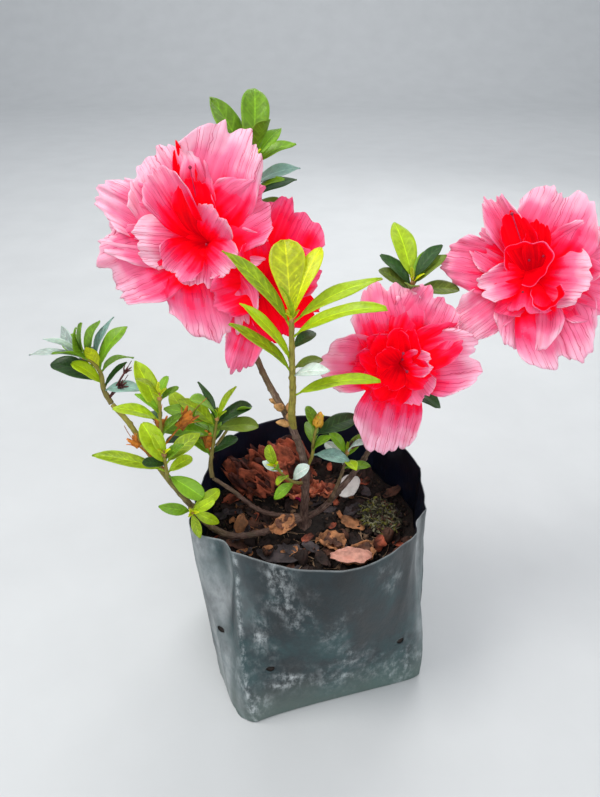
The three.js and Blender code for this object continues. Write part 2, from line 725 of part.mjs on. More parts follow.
// A petal as a grid of points: it climbs the funnel's throat, then spreads and ruffles to its edge
function petalGrid({ foot, axis, seed }, [bearing, reach, width, lift], index) {
  const [first, second] = crossFrame(axis);
  const out = first.multiplyScalar(Math.cos(radians(bearing)));
  out.addScaledVector(second, Math.sin(radians(bearing)));
  const side = axis.clone().cross(out);
  const draw = draws(seed * 100 + index);
  const [phase, slant] = [2 * Math.PI * draw(), draw() - 0.5];
  const inner = reach < BLOSSOM.innerReach;
  const rows = inner ? BLOSSOM.innerRows : BLOSSOM.petalRows;
  const columns = inner ? BLOSSOM.innerColumns : BLOSSOM.petalColumns;
  const [acrossWaves, alongWaves] = BLOSSOM.ruffleWaves;
  const rise = (share, full) => Math.sin((Math.PI / 2) * Math.min(1, share / full));
  return rows.map((u) => columns.map((v) => {
    const run = u * (1 - BLOSSOM.tipRounding * v * v * u * u);
    const climb = BLOSSOM.throat * rise(run, BLOSSOM.climbed);
    const swell = mix(BLOSSOM.footWidth, 1, rise(u, BLOSSOM.fullWidth) ** BLOSSOM.widening);
    const narrowing = 1 - BLOSSOM.tipNarrowing * Math.max(0, u - BLOSSOM.fullWidth);
    const half = (width / 2) * swell * narrowing;
    const wave = Math.sin(acrossWaves * v + alongWaves * u + phase) * mix(0.35, 1, Math.abs(v));
    const lifted = reach * (lift * run * run + BLOSSOM.ruffle * u * u * wave);
    const point = along(at(foot), out, reach * run ** BLOSSOM.spread);
    point.addScaledVector(axis, climb + lifted + BLOSSOM.roll * half * v * v);
    return point.addScaledVector(side, half * v + slant * BLOSSOM.slant * reach * u * u);
  }));
}

function bloomSolid({ flowers }) {
  const parts = [];
  for (const flower of flowers) {
    const axis = at(flower.axis).normalize();
    const neck = along(at(flower.foot), axis, BLOSSOM.stalkSink - BLOSSOM.calyx).toArray();
    parts.push(limb({ route: [...flower.stalk, neck], radii: BLOSSOM.stalkRadii, sides: 5, steps: 5 }));
    const [first, second] = crossFrame(axis);
    const tubeRing = ([height, radius]) => Array.from({ length: BLOSSOM.tubeSides }, (_, i) => {
      const turn = (2 * Math.PI * i) / BLOSSOM.tubeSides;
      const centre = along(at(flower.foot), axis, height);
      return along(along(centre, first, radius * Math.cos(turn)), second, radius * Math.sin(turn));
    });
    parts.push(loft(BLOSSOM.tube.map(tubeRing)));
    flower.petals.forEach((petal, index) => {
      parts.push(sheet(petalGrid({ ...flower, axis }, petal, index), BLOSSOM.sheet));
    });
  }
  return tidied(cutClear(union(parts)));
}

// A crumpled piece of litter: a flattened ball with seeded creases
function litterPiece({ centre, half, turn, tilt, crumple, seed }) {
  const ball = new THREE.SphereGeometry(1, 10, 6);
  const draw = draws(seed);
  const phases = Array.from({ length: 4 }, () => 2 * Math.PI * draw());
  const { position } = ball.attributes;
  for (let k = 0; k < position.count; k += 1) {
    const p = new THREE.Vector3().fromBufferAttribute(position, k);
    const crease = Math.sin(4 * p.x + phases[0]) * Math.sin(5 * p.y + phases[1])
      + 0.6 * Math.sin(6 * p.z + 3 * p.x + phases[2]) + 0.4 * Math.sin(7 * p.y + phases[3]);
    p.multiplyScalar(1 + crumple * crease);
    position.setXYZ(k, p.x, p.y, p.z);
  }
  ball.scale(...half);
  ball.rotateY(radians(-tilt));
  ball.rotateZ(radians(turn));
  ball.translate(...centre);
  return solidOfGeometry(ball);
}

// Raises a solid out of what it meets, or lets it down, until it lies just clear
function settle(solid) {
  const others = [...pieces.values()];
  const fits = (height) => isClear(solid.translate([0, 0, height]), others);
  let held = 0;
  while (!fits(held)) held += 1;
  while (fits(held - 1)) held -= 1;
  let touching = held - 1;
  while (held - touching > CLOSE) {
    const trial = (held + touching) / 2;
    if (fits(trial)) held = trial;
    else touching = trial;
  }
  return solid.translate([0, 0, held]);
}

// Assembly, from the ground up
pieces.set('grow_bag', growBag());
pieces.set('soil', soilBody());
for (const [name, shape] of Object.entries(LIMBS)) {
  pieces.set(name, cutClear(limb(shape)));
  fattened.set(name, limb(shape, CUT));
}
for (const [name, bloom] of Object.entries(BLOOMS)) pieces.set(name, bloomSolid(bloom));
for (const [name, mass] of Object.entries(MASSES)) woods.set(name, massWood(mass));
for (const [name, mass] of Object.entries(MASSES)) pieces.set(name, foliageMass(name, mass));
for (const [name, piece] of Object.entries(LITTER)) pieces.set(name, settle(litterPiece(piece)));

function finishOf(name) {
  if (name === 'grow_bag') return FINISHES.film;
  if (name === 'soil') return FINISHES.soil;
  if (name in LIMBS) return FINISHES.bark;
  if (name in BLOOMS) return FINISHES.petal;
  if (name in MASSES) return FINISHES.leaf;
  return FINISHES[LITTER_FINISH[name] ?? 'litter'];
}

function meshOf(name, solid) {
  const { vertProperties, triVerts } = solid.getMesh();
  const geometry = new THREE.BufferGeometry();
  geometry.setAttribute('position', new THREE.BufferAttribute(vertProperties, 3));
  geometry.setIndex(new THREE.BufferAttribute(triVerts, 1));
  const [color, roughness] = finishOf(name);
  const mesh = new THREE.Mesh(geometry, new THREE.MeshStandardMaterial({ color, roughness, metalness: 0 }));
  mesh.name = name;
  return mesh;
}

const plant = new THREE.Group();
for (const [name, solid] of pieces) plant.add(meshOf(name, solid));

export default plant;
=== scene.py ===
# An azalea shrub in flower, in the black film bag that a nursery grows it in, dressed round its
# CAD solids. Shapes are worked out in millimetres and become metres as each mesh is made.

import math

import bpy
import numpy as np
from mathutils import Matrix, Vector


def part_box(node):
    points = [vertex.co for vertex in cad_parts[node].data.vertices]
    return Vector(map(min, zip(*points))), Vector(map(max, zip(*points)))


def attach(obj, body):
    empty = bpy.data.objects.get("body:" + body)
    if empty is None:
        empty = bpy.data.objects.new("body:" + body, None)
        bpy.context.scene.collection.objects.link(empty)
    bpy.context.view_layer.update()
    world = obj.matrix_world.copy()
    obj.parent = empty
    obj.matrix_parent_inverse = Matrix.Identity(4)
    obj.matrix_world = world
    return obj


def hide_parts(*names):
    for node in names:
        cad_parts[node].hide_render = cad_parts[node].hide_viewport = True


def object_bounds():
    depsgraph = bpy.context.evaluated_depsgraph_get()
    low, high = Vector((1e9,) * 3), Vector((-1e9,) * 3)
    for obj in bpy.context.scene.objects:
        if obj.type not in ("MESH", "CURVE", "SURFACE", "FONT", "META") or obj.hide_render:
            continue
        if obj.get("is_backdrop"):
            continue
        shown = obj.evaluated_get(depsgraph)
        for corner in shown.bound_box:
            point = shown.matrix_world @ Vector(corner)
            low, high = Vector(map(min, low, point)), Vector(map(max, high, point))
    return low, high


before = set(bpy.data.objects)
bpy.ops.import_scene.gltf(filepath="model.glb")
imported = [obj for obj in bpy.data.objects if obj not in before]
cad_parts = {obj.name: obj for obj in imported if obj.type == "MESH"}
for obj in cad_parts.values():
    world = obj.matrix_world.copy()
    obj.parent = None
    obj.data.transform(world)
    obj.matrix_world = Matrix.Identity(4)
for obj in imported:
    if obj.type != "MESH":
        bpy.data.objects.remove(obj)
cad_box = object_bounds()

MM = 0.001
ROUND = 2 * np.pi

# The photograph's camera
PHOTO_HEIGHT = 797
FOCAL_PIXELS = 599
SENSOR = 36
CAMERA_PLACE = (-8, -217, 303)
CAMERA_PITCH = 33

# The grow bag has a squarish bottom and opens to a round mouth with one folded corner.
# Bearings are in degrees in the bag's own frame, which is turned about +Z.
BAG_TURN = 14.4
BAG_HALF = (50, 41)
BAG_SQUARENESS = 12
BAG_HEIGHT = 115
MOUTH_RADIUS = 52.5
MOUTH_CENTRE = (-2, -1, 0)
RIM_SWAY, RIM_HIGH_SIDE = 3.5, 95
BELLY = 0.9
# How far the bag swells out, at which bearing and how widely: at its bottom, then at its mouth
BULGE = (6, 178, 40)
MOUTH_SWELLINGS = [(8, -169, 13), (-2.5, -115, 26)]
# The film's thickness, and how far its wrinkles and finer ripples stand out
FILM, WRINKLE, RIPPLE = 0.35, 0.4, 0.14
BAG_COLUMNS, BAG_ROWS, BASE_RINGS = 300, 96, 8
# Drain holes: bearing and height
DRAIN_HOLE = 2.2
DRAINS = [(-155, 56), (-128, 42.5), (-51.5, 40.5), (30, 58), (100, 42), (160, 56)]
# Folds in the film: bearing at the bottom and at the rim, how far it stands out, its width in
# degrees, whether it is a sharp ridge, and the shares of the height that it fades between
FOLDS = [
    (-134.5, -145, 1.9, 3.6, True, -0.2, 1.4), (-143, -153, -2.0, 5.0, False, -0.2, 1.3),
    (-151, -164, 1.2, 3.0, True, 0.1, 1.4), (-163, -178, -1.2, 4.0, False, 0.3, 1.4),
    (-168, -160, 0.9, 3.0, True, -0.2, 0.7), (-39, -33, 1.2, 3.4, True, -0.2, 0.8),
    (-30, -40, -1.6, 4.2, False, 0.15, 1.4), (-24, -31, 1.4, 3.2, True, 0.2, 1.4),
    (-50, -58, -0.7, 5.0, False, 0.5, 1.4), (-62, -47, 0.9, 4.0, True, 0.45, 1.3),
    (-8, -14, -1.3, 4.5, False, 0.0, 1.3), (2, -4, 1.1, 3.2, True, 0.2, 1.3),
    (39, 36, 1.5, 3.4, True, -0.2, 1.2), (28, 24, -1.3, 5.0, False, -0.2, 1.2),
    (60, 74, -0.8, 5.0, False, 0.3, 1.4), (96, 88, 0.8, 4.0, True, 0.3, 1.4),
    (141, 144, 1.5, 3.4, True, -0.2, 1.2), (152, 156, -1.4, 5.0, False, -0.2, 1.2),
    (180, 176, 1.3, 3.2, True, 0.2, 1.3),
]
# Rubbed places on the front: middle across and up, and how far they reach
SCUFFS = [
    (-17, 104, 7, 10), (-16, 88, 6, 9), (-9, 78, 5, 7), (-26, 66, 4, 12), (-14, 30, 12, 8),
    (12, 22, 14, 7), (-30, 14, 8, 8),
]
# Least and most of the dust and painted sheen on the film: the least on the rim, its painted highlight,
# and the most on the two sides, which are dusty and pale with painted sheen where they face the light
RIM_HIGHLIGHT, MOST_DUST_AND_SHEEN = 0.5, 0.95

# The soil: its height at the stem, its edge as a share of the rim's height, its gap to the outside
SOIL_FOOT = np.array([-6, 0, 88])
SOIL_SHARE = 0.745
SOIL_GAP = 0.65
SOIL_COLUMNS, SOIL_ROWS, SOIL_SIDE_ROWS = 200, 60, 16
# Crumbs of three kinds and how often each comes, and loose fibres kept this near the middle
CRUMBS = 2600
CRUMB_DEAL = [0.55, 0.33, 0.12]
FIBRES = 150
FIBRE_RANGE = 42
# How the crumbs' sizes are drawn: a gamma spread's shape and scale, and the least and the most
CRUMB_SPREAD, CRUMB_LIMITS = (2.2, 0.32), (0.25, 2.2)

# Limbs: routes from foot to tip, the radius and the youth at each end, how far the foot flares and
# how high, and the bud scales at a fork: share of the limb, bearing, length
LIMBS = {
    "main_stem": {
        "route": [(-6, 0, 86), (-6, 0, 93), (-5.5, -3, 124), (-8.4, -5, 141), (-14, -5, 157), (-23, 2, 172),
                  (-31, 13, 188), (-38, 21, 203)],
        "radii": (2.0, 1.05), "flare": (3.4, 3.2), "youth": (0.0, 0.5),
        "scales": [
            (0.5, 100, 5), (0.52, 200, 6), (0.54, 320, 5.5), (0.56, 30, 5), (0.58, 250, 6),
            (0.6, 140, 5),
        ],
    },
    "left_bough": {
        "route": [(-6, 0, 92.5), (-20, 1, 92.5), (-29, 0.5, 97), (-41, 0, 110), (-49, -0.5, 117.5)],
        "radii": (1.35, 0.85), "youth": (0.0, 0.35),
    },
    "far_left_bough": {
        "route": [(-6, 0, 91.5), (-20, -8, 92), (-39, -18, 97.5), (-49.5, -21.5, 108.5),
                  (-55.5, -21.5, 119), (-63.5, -21, 133), (-71, -17, 143.5), (-81, -9, 156),
                  (-88, -4, 161.5)],
        "radii": (1.6, 1.1), "youth": (0.0, 0.75),
    },
    "right_bough": {
        "route": [(-6, 0, 91), (3, 1, 97), (12, 2.5, 109), (22, 4.5, 125), (29, 8, 140), (34, 13, 156)],
        "radii": (1.55, 1.0), "youth": (0.0, 0.4),
    },
    "right_upper_bough": {
        "route": [
            (34, 13, 156), (42, 18.5, 168), (54, 21, 175), (70, 22, 179.5), (82, 23.5, 186),
            (88, 24.4, 191.4),
        ],
        "radii": (1.0, 0.85), "youth": (0.4, 0.7),
    },
}
WOOD_STEP = 0.6
NO_FLARE = (0.0, 1.0)
# Leaf scars along the wood: how far apart, how far it swells there, and how far a scar stands out
SCAR_GAP, SCAR_SWELL, SCAR_RIDGE = (3.5, 8), (0.04, 0.12), (0.15, 0.4)

# Blossom: an open funnel whose foot is the flower's base and whose axis looks out of its throat.
# A petal is its bearing round that axis, reach, width, lift of its tip, roll of its sides, how far
# the throat's red runs out along it, and the notch in its tip. A cup is a curled petal round a
# hollow: bearing and distance of its middle from the axis, radius, height, bearing of its opening.
# A style is its bearing, how far it leans, and its length.
THROAT = 18
CALYX = 6
PETAL_SHEET = 0.32
PETAL_ROWS, PETAL_COLUMNS = 38, 43
# The funnel's tube, by heights along the axis and radii there, and the stalk's radii at its ends
TUBE, STALK_RADII = ((-1, 5, 12.5), (1.7, 3.0, 5.2)), (0.95, 1.5)
# Fine threads in each throat: how many, and the spans of their bearing, lean and length
FILAMENTS, FILAMENT_SPANS = 4, ((0, 360), (8, 26), (15, 21))
STYLE_THICK, FILAMENT_THICK = 0.24, 0.16
KNOB_RADII = np.array([0.2, 0.5, 0.66, 0.66, 0.48, 0.1])
# How far round each cup of a flower goes, in radians
CUP_SPANS = (5.4, 4.3)
BLOOMS = {
    "upper": [
        {
            "stalk": [(-38.25, 21.3, 203.4), (-40, 25.5, 208), (-41.5, 30, 213.5)],
            "foot": (-44.4, 27, 221.5), "axis": (-0.12, -0.93, 0.35), "seed": 11,
            "petals": [
                (62, 44, 32, 0.04, 0.1, -0.02, 0.08), (93, 31, 17, 0.08, 0.2, 0.14, 0.03),
                (100, 38, 9, 0.02, 0.9, 0.6, 0.0), (128, 37, 33, 0.05, 0.1, 0.0, 0.04),
                (151, 45, 21, 0.03, 0.15, 0.0, 0.05), (175, 41, 24, -0.02, 0.1, 0.0, 0.04),
                (205, 43, 32, -0.05, 0.05, 0.03, 0.05), (276, 38, 37, -0.03, 0.05, 0.07, 0.04),
                (32, 31, 28, 0.08, 0.15, 0.15, 0.04), (357, 26, 16, 0.08, -0.2, 0.1, 0.05),
                (172, 24, 22, 0.3, -0.35, -0.1, 0.03), (118, 29, 17, 0.3, 1.0, 0.1, 0.0),
                (52, 14, 19, 0.75, -0.45, 0.1, 0.04), (262, 17, 22, 0.3, -0.3, 0.1, 0.06),
                (228, 16, 18, 0.35, 0.5, 0.15, 0.03), (325, 17, 17, 0.3, -0.2, 0.05, 0.05),
                (85, 22, 16, 0.4, 0.4, 0.5, 0.03),
            ],
            "styles": [(88, 41, 38)],
        },
        {
            "stalk": [(-39.5, 24.6, 207), (-34, 26.5, 203.5), (-28.5, 28.5, 202.5)],
            "foot": (-24.5, 21.5, 206), "axis": (0.08, -0.93, 0.36), "seed": 23,
            "petals": [
                (250, 37.5, 15, -0.12, 0.1, 0.15, 0.03), (68, 34, 31, -0.08, 0.1, 0.3, 0.05),
                (335, 25, 15, -0.05, 0.6, 0.5, 0.0), (285, 23, 17, 0.0, 0.3, 0.45, 0.02),
                (20, 24, 20, 0.1, 0.2, 0.3, 0.03), (205, 20, 18, 0.1, 0.2, 0.3, 0.03),
                (95, 16, 15, 0.4, 0.5, 0.4, 0.0),
            ],
        },
    ],
    "centre": [
        {
            "stalk": [(34.2, 13.3, 156.6), (36, 17.5, 161.5)],
            "foot": (36.5, 17, 170.5), "axis": (-0.17, -0.9, 0.4), "seed": 37,
            "petals": [
                (107, 35, 30, 0.0, 0.05, 0.08, 0.06), (55, 34, 30, 0.0, 0.1, 0.12, 0.05),
                (5, 33, 28, -0.02, 0.1, 0.02, 0.06), (262, 39, 28, -0.04, 0.05, -0.01, 0.04),
                (172, 33.5, 25, 0.0, 0.1, 0.02, 0.05), (30, 28, 18, 0.05, 0.4, 0.35, 0.05),
                (150, 17, 17, 0.35, 0.4, 0.45, 0.05), (190, 19, 16, 0.25, 0.5, 0.4, 0.06),
                (110, 16, 16, 0.45, 0.5, 0.5, 0.05), (225, 17, 16, 0.3, 0.4, 0.5, 0.06),
                (260, 16, 16, 0.35, 0.35, 0.5, 0.05), (303, 17, 18, 0.4, -0.3, 0.15, 0.05),
                (340, 13, 13, 0.6, 0.5, 0.45, 0.04), (20, 13, 12, 0.7, 0.3, 0.1, 0.05),
                (75, 16, 14, 0.5, 0.6, 0.5, 0.04), (170, 9, 12, 1.0, 0.6, 0.6, 0.06),
                (250, 9, 11, 1.1, 0.6, 0.6, 0.05), (130, 10, 10, 1.2, 0.8, 0.6, 0.05),
            ],
            "styles": [(75, 14, 26), (-20, 8, 25)],
        },
    ],
    "right": [
        {
            "stalk": [(88.3, 24.6, 191.8), (91.5, 28, 197)],
            "foot": (90.5, 24, 207), "axis": (-0.33, -0.85, 0.42), "seed": 53,
            "petals": [
                (64, 34, 33, 0.02, 0.1, 0.03, 0.05), (28, 31, 24, 0.0, 0.1, 0.06, 0.04),
                (300, 38, 33, -0.06, 0.08, 0.02, 0.05), (262, 29, 26, -0.04, 0.1, 0.02, 0.04),
                (340, 31, 24, -0.03, 0.1, 0.14, 0.04), (172, 37, 21, 0.03, 0.15, 0.1, 0.03),
                (116, 35, 13, 0.12, 0.7, 0.1, 0.0), (145, 27, 18, 0.1, 0.1, 0.1, 0.03),
                (220, 37, 20, -0.06, 0.15, -0.04, 0.04), (347, 20, 24, 0.35, -0.3, -0.02, 0.02),
                (214, 19, 20, 0.3, -0.25, 0.3, 0.08), (262, 15, 22, 0.4, -0.35, 0.3, 0.08),
                (186, 21, 14, 0.3, 0.3, 0.0, 0.05), (112, 25, 12, 0.35, 0.8, 0.55, 0.0),
                (90, 20, 10, 0.3, 0.6, 0.6, 0.0),
            ],
            "cups": [(118, 5, 7.2, 12, 250), (300, 9, 5, 10, 150)],
            "styles": [(112, 40, 37)],
        },
    ],
}

# A leaf's form is how the blade swells from its foot and narrows to its tip, and its width:
# p pointed, s slender, r round, o broadest near the tip, n so too and narrow
LEAF_FORMS = {
    "p": (0.9, 0.8, 0.86), "s": (0.8, 0.8, 0.42), "r": (0.75, 0.5, 0.95), "o": (1.25, 0.45, 0.96),
    "n": (1.1, 0.5, 0.6),
}
# Blades turn their faces towards the open sky in front, by this much
LIGHTWARD = np.array([0.0, -0.72, 0.69])
LEAF_TURN = 0.85
# Shares of a leaf's reach: its width, its petiole, its arch; then its fold, and its thickness in mm
LEAF_WIDTH, PETIOLE, LEAF_BOW, LEAF_FOLD, LEAF_THICK = 0.34, 0.1, 0.1, 0.22, 0.3
BLADE_ROWS = 20
BLADE_COLUMNS = np.array([-1, -0.78, -0.52, -0.27, -0.055, 0.055, 0.27, 0.52, 0.78, 1])
# The petiole's radii, from the foot to where it fades out under the blade
PETIOLE_RADII, PETIOLE_END = (0.55, 0.2), 0.3
# A solid holds a leaf when this many of its points, its tip and two pairs at shares of its reach,
# lie this near a corner of the solid
HELD_POINTS, HELD_SHARES, HELD_NEAR = 2, (0.34, 0.74), 0.5
# How far draws stir a leaf's bearing, rise and length, and how the whorl's leaves shorten
STIR_BEARING, STIR_RISE, STIR_LENGTH, WHORL_TAPER = 22, 12, 0.16, 0.1
# Colours of the leaves' tones: light, green, dark, olive, bright sky shine, blue-grey, yellow
LEAF_TONES = {
    "l": (148, 176, 16), "g": (106, 148, 22), "d": (40, 74, 28), "o": (98, 118, 36),
    "w": (182, 198, 190), "b": (122, 156, 146), "y": (186, 196, 14),
}
# The tones and forms of a whorl's leaves, one after another, where its mass has no deal of its own
COMMON_DEAL = "gdglgo"
WHORL_FORMS = "prp"
TIP_BUD = (3.4, 1.7)
# Young leaves round a tip's bud: how many, and the spans of their bearing, rise and length
TIP_LEAVES, TIP_SPANS = 3, ((-25, 25), (50, 70), (4.5, 7))
# Radii of a mass's stem and of its twigs at their ends, as shares of the mass's own
STEM_TAPER, TWIG_TAPER = (1.1, 0.62), (0.8, 0.5)
# Masses of foliage. Size is the stem's radius, the leaves' breadth and the wood's youth. A placed
# leaf is its share of the stem, bearing, rise and length, with a tone and a form. A shoot is its
# foot and tip, its count of leaves, where the whorl starts, the leaves' length, the seed, the first
# bearing, the turn from leaf to leaf, the lowest and highest rise, and whether it is a twig of its
# own. A spent calyx is its share of the stem, bearing, rise, length, size of cup and finish.
MASSES = {
    "light_shoot": {
        "stem": [(-11, -5, 150), (-11.5, -8.5, 160), (-11, -9, 170), (-11.2, -9.5, 190), (-11.2, -10, 204)],
        "size": (1.55, 1.25, 1.0),
        "placed": [
            (0.36, 350, 22, 37), (0.54, 338, 20, 17), (0.56, 181, 45, 33), (0.6, 28, 2, 14),
            (0.64, 180, 55, 33), (0.76, 49, 10, 14), (0.86, 342, 29, 40), (0.93, 160, 47, 39),
            (0.96, 100, 62, 32), (0.975, 22, 18, 40), (0.985, 48, 58, 30), (0.99, 235, 68, 18),
        ],
        "tones": "lwloldllylyl", "forms": "spspsrssosns", "deal": "lly",
    },
    "top": {
        "stem": [(-36.5, 21.5, 201), (-34, 26, 212), (-33, 30, 224), (-29.5, 31, 238), (-26, 31, 254)],
        "size": (1.1, 1.15, 0.8),
        "shoots": [((-33.5, 29, 219), (-26, 31, 254), 5, 0, 20, 1051, 75, 137.5, 10, 60)],
        "placed": [
            (0.86, 150, 44, 34), (0.955, 106, 56, 30), (0.945, 5, 38, 19), (0.79, 4, 33, 22),
            (0.7, 10, 34, 22), (0.61, 358, 30, 18), (0.97, 54, 42, 19),
        ],
        "tones": "gggbdog", "forms": "prppppp",
    },
    "centre": {
        "stem": [(40, 17.5, 167), (39.5, 22, 178), (39, 22, 190), (39.4, 20.5, 207)],
        "size": (1.0, 1.15, 0.8),
        "shoots": [((39.5, 21, 176), (39.4, 20, 208), 6, 0, 18, 77, 60, 137.5, -5, 50)],
        "placed": [
            (0.98, 109, 38, 29), (0.93, 150, 36, 19.5), (0.87, 156, 27, 17), (0.955, 10, 46, 18.5),
            (0.87, 352, 12, 20), (0.985, 50, 55, 15),
        ],
        "tones": "ldooog", "forms": "pprprp", "deal": "god",
    },
    "far_left": {
        "stem": [
            (-88.5, -3.6, 161.9), (-91, -2.4, 167.9), (-91.3, -1.4, 175.7), (-93.9, -0.6, 180),
            (-97.3, 0, 182.5),
        ],
        "size": (1.1, 1.35, 0.7),
        "shoots": [((-91.3, -1, 176), (-97.3, 0, 182.5), 3, 0, 19, 5228, 70, 30, -10, 25)],
        "placed": [
            (0.93, 205, 62, 22.6), (0.93, 280, 72, 18.8), (0.97, 46, 68, 17), (0.97, 323, 25, 17),
            (0.93, 350, 32, 16), (0.9, 37, 22, 18), (0.78, 34, 28, 21.9), (0.66, 13, 31, 22),
            (0.62, 280, 78, 12.8), (0.9, 250, 55, 15), (0.42, 179, 21, 22), (0.38, 197, 45, 15.6),
            (0.3, 44, 29, 15.2), (0.27, 349, -6, 17),
        ],
        "tones": "wwwgggbgygdldb", "forms": "ssprrrsppprrsp",
        "calyxes": [(0.1, 340, 19, 12, 5.5, 4), (0.1, 350, 29, 18, 4.5, 4)],
    },
    "left_low": {
        "stem": [(-64, -21, 134), (-63.6, -24, 140), (-63, -26, 152)],
        "size": (0.95, 1.35, 0.7),
        "shoots": [((-63.6, -24, 140), (-63, -26, 152), 4, 0.2, 12, 2186, 90, 137.5, 10, 75)],
        "placed": [
            (0.65, 141, 55, 20.4), (0.46, 175, 12, 31), (0.69, 36, 28, 19), (0.39, 40, 5, 12.5),
            (0.31, 335, -20, 18),
        ],
        "tones": "llllg", "forms": "rsprr",
        "calyxes": [(0.5, 162, 44, 20, 8, 3)],
    },
    "left_tall": {
        "stem": [
            (-67.5, -19, 138.6), (-66.5, -18.5, 146), (-65.8, -16.5, 154.2), (-65.5, -14.5, 162.9),
            (-65, -13, 170.8),
        ],
        "size": (0.95, 1.15, 0.8),
        "shoots": [((-66, -17, 152), (-65, -13, 170.8), 4, 0, 15, 1310, 90, 40, 0, 50)],
        "placed": [
            (0.71, 150, 62, 26), (0.69, 190, 20, 19.5), (0.96, 25, 33, 9.5), (0.98, 55, 64, 10),
            (0.5, 30, 42, 12.2),
        ],
        "tones": "llggg", "forms": "pprrr",
        "calyxes": [(0.3, 30, 50, 20, 14, 3), (0.3, 116, 79, 13, 9, 3)],
    },
    "left_rim": {
        "stem": [(-56.5, -22, 119), (-55, -26, 121), (-54, -29.5, 123.5)],
        "size": (0.8, 1.15, 0.9),
        "shoots": [((-56, -23.5, 119.5), (-54, -29.5, 123.5), 5, 0.2, 15, 9876, 310, 106, 0, 25)],
        "deal": "llgl",
    },
    "left_rear": {
        "stem": [(-49.3, -0.4, 118), (-50, 2, 124), (-48, 5, 135), (-46, 8, 146)],
        "size": (1.0, 1.35, 0.6),
        "shoots": [
            ((-49, 4, 126), (-46, 8, 146), 5, 0.1, 21, 3945, 60, 40, 0, 45),
            ((-49, 4, 126), (-58, 9, 142), 4, 0.4, 19, 518, 60, 137.5, 5, 60, True),
            ((-47, 6, 132), (-36, 14, 146), 4, 0.45, 17, 902, 20, 137.5, 10, 60, True),
        ],
        "placed": [
            (0.93, 160, 56, 20.5), (0.97, 35, 66, 18), (0.9, 15, 36, 18.4), (0.8, 5, 15, 20),
            (0.85, 185, 14, 25), (0.7, 195, 2, 23.5), (0.6, 110, 70, 15.4), (0.4, 20, 38, 14),
            (0.35, 175, 34, 17),
        ],
        "tones": "dldogggdg", "forms": "ssrrppprp",
        "calyxes": [(0.3, 151, 74, 14.2, 14, 3)],
    },
    "inner": {
        "stem": [(-5.8, -1, 116), (-9, -5.5, 119), (-14, -8, 124), (-18.5, -9, 131)],
        "size": (0.8, 1.45, 0.7),
        "shoots": [((-9, -5.5, 119), (-18.5, -9, 131), 8, 0.1, 12.5, 641, 200, 137.5, 10, 60)],
        "deal": "gwgl",
    },
    "bud_shoot": {
        "stem": [(-5.6, -2.5, 125), (-2.6, -3.4, 133), (-1.8, -3.2, 143), (0, -3, 152)],
        "size": (0.85, 1.35, 0.7),
        "placed": [
            (0.35, 350, 5, 17), (0.42, 330, 55, 14), (0.5, 95, 15, 15), (0.72, 14, 28, 21),
            (0.8, 130, 45, 12),
        ],
        "tones": "bggdg", "forms": "pprrr",
        "bud": (7.5, 4.0),
    },
    "small_right": {
        "stem": [(6, 1.4, 100.6), (8, -1.6, 109), (11.5, -2, 122), (13.5, -1.5, 134)],
        "size": (0.95, 1.2, 0.4),
        "shoots": [((11.8, -2, 124), (13.5, -1.5, 134), 6, 0.1, 13.5, 333, 350, 137.5, 0, 45)],
        "deal": "gwlg",
        "calyxes": [(0.98, 20, 67, 6, 6, 4)],
    },
    "behind_centre": {
        "stem": [(31.5, 9.8, 146.5), (37, 11.5, 152), (44.5, 13, 157.3)],
        "size": (0.85, 1.6, 0.5),
        "shoots": [((37, 11.5, 152), (44.5, 13, 157.3), 4, 0, 14, 712, 80, 137.5, 0, 45)],
        "placed": [(0.94, 352, 28, 14)],
        "tones": "d", "forms": "r", "deal": "dd",
    },
    "behind_upper": {
        "stem": [(-33, 15.2, 192), (-35, 24, 198), (-42, 33, 208), (-52, 38, 219)],
        "size": (1.0, 1.2, 0.6),
        "shoots": [((-42, 33, 208), (-52, 38, 219), 8, 0, 23, 415, 100, 137.5, 5, 50)],
    },
    "behind_right": {
        "stem": [(84, 23.8, 187.4), (87, 29, 188), (93, 34, 192), (97, 35.5, 200)],
        "size": (0.9, 1.2, 0.6),
        "shoots": [((89, 31, 189), (97, 35.5, 200), 8, 0, 23, 268, 250, 137.5, -5, 45)],
    },
}

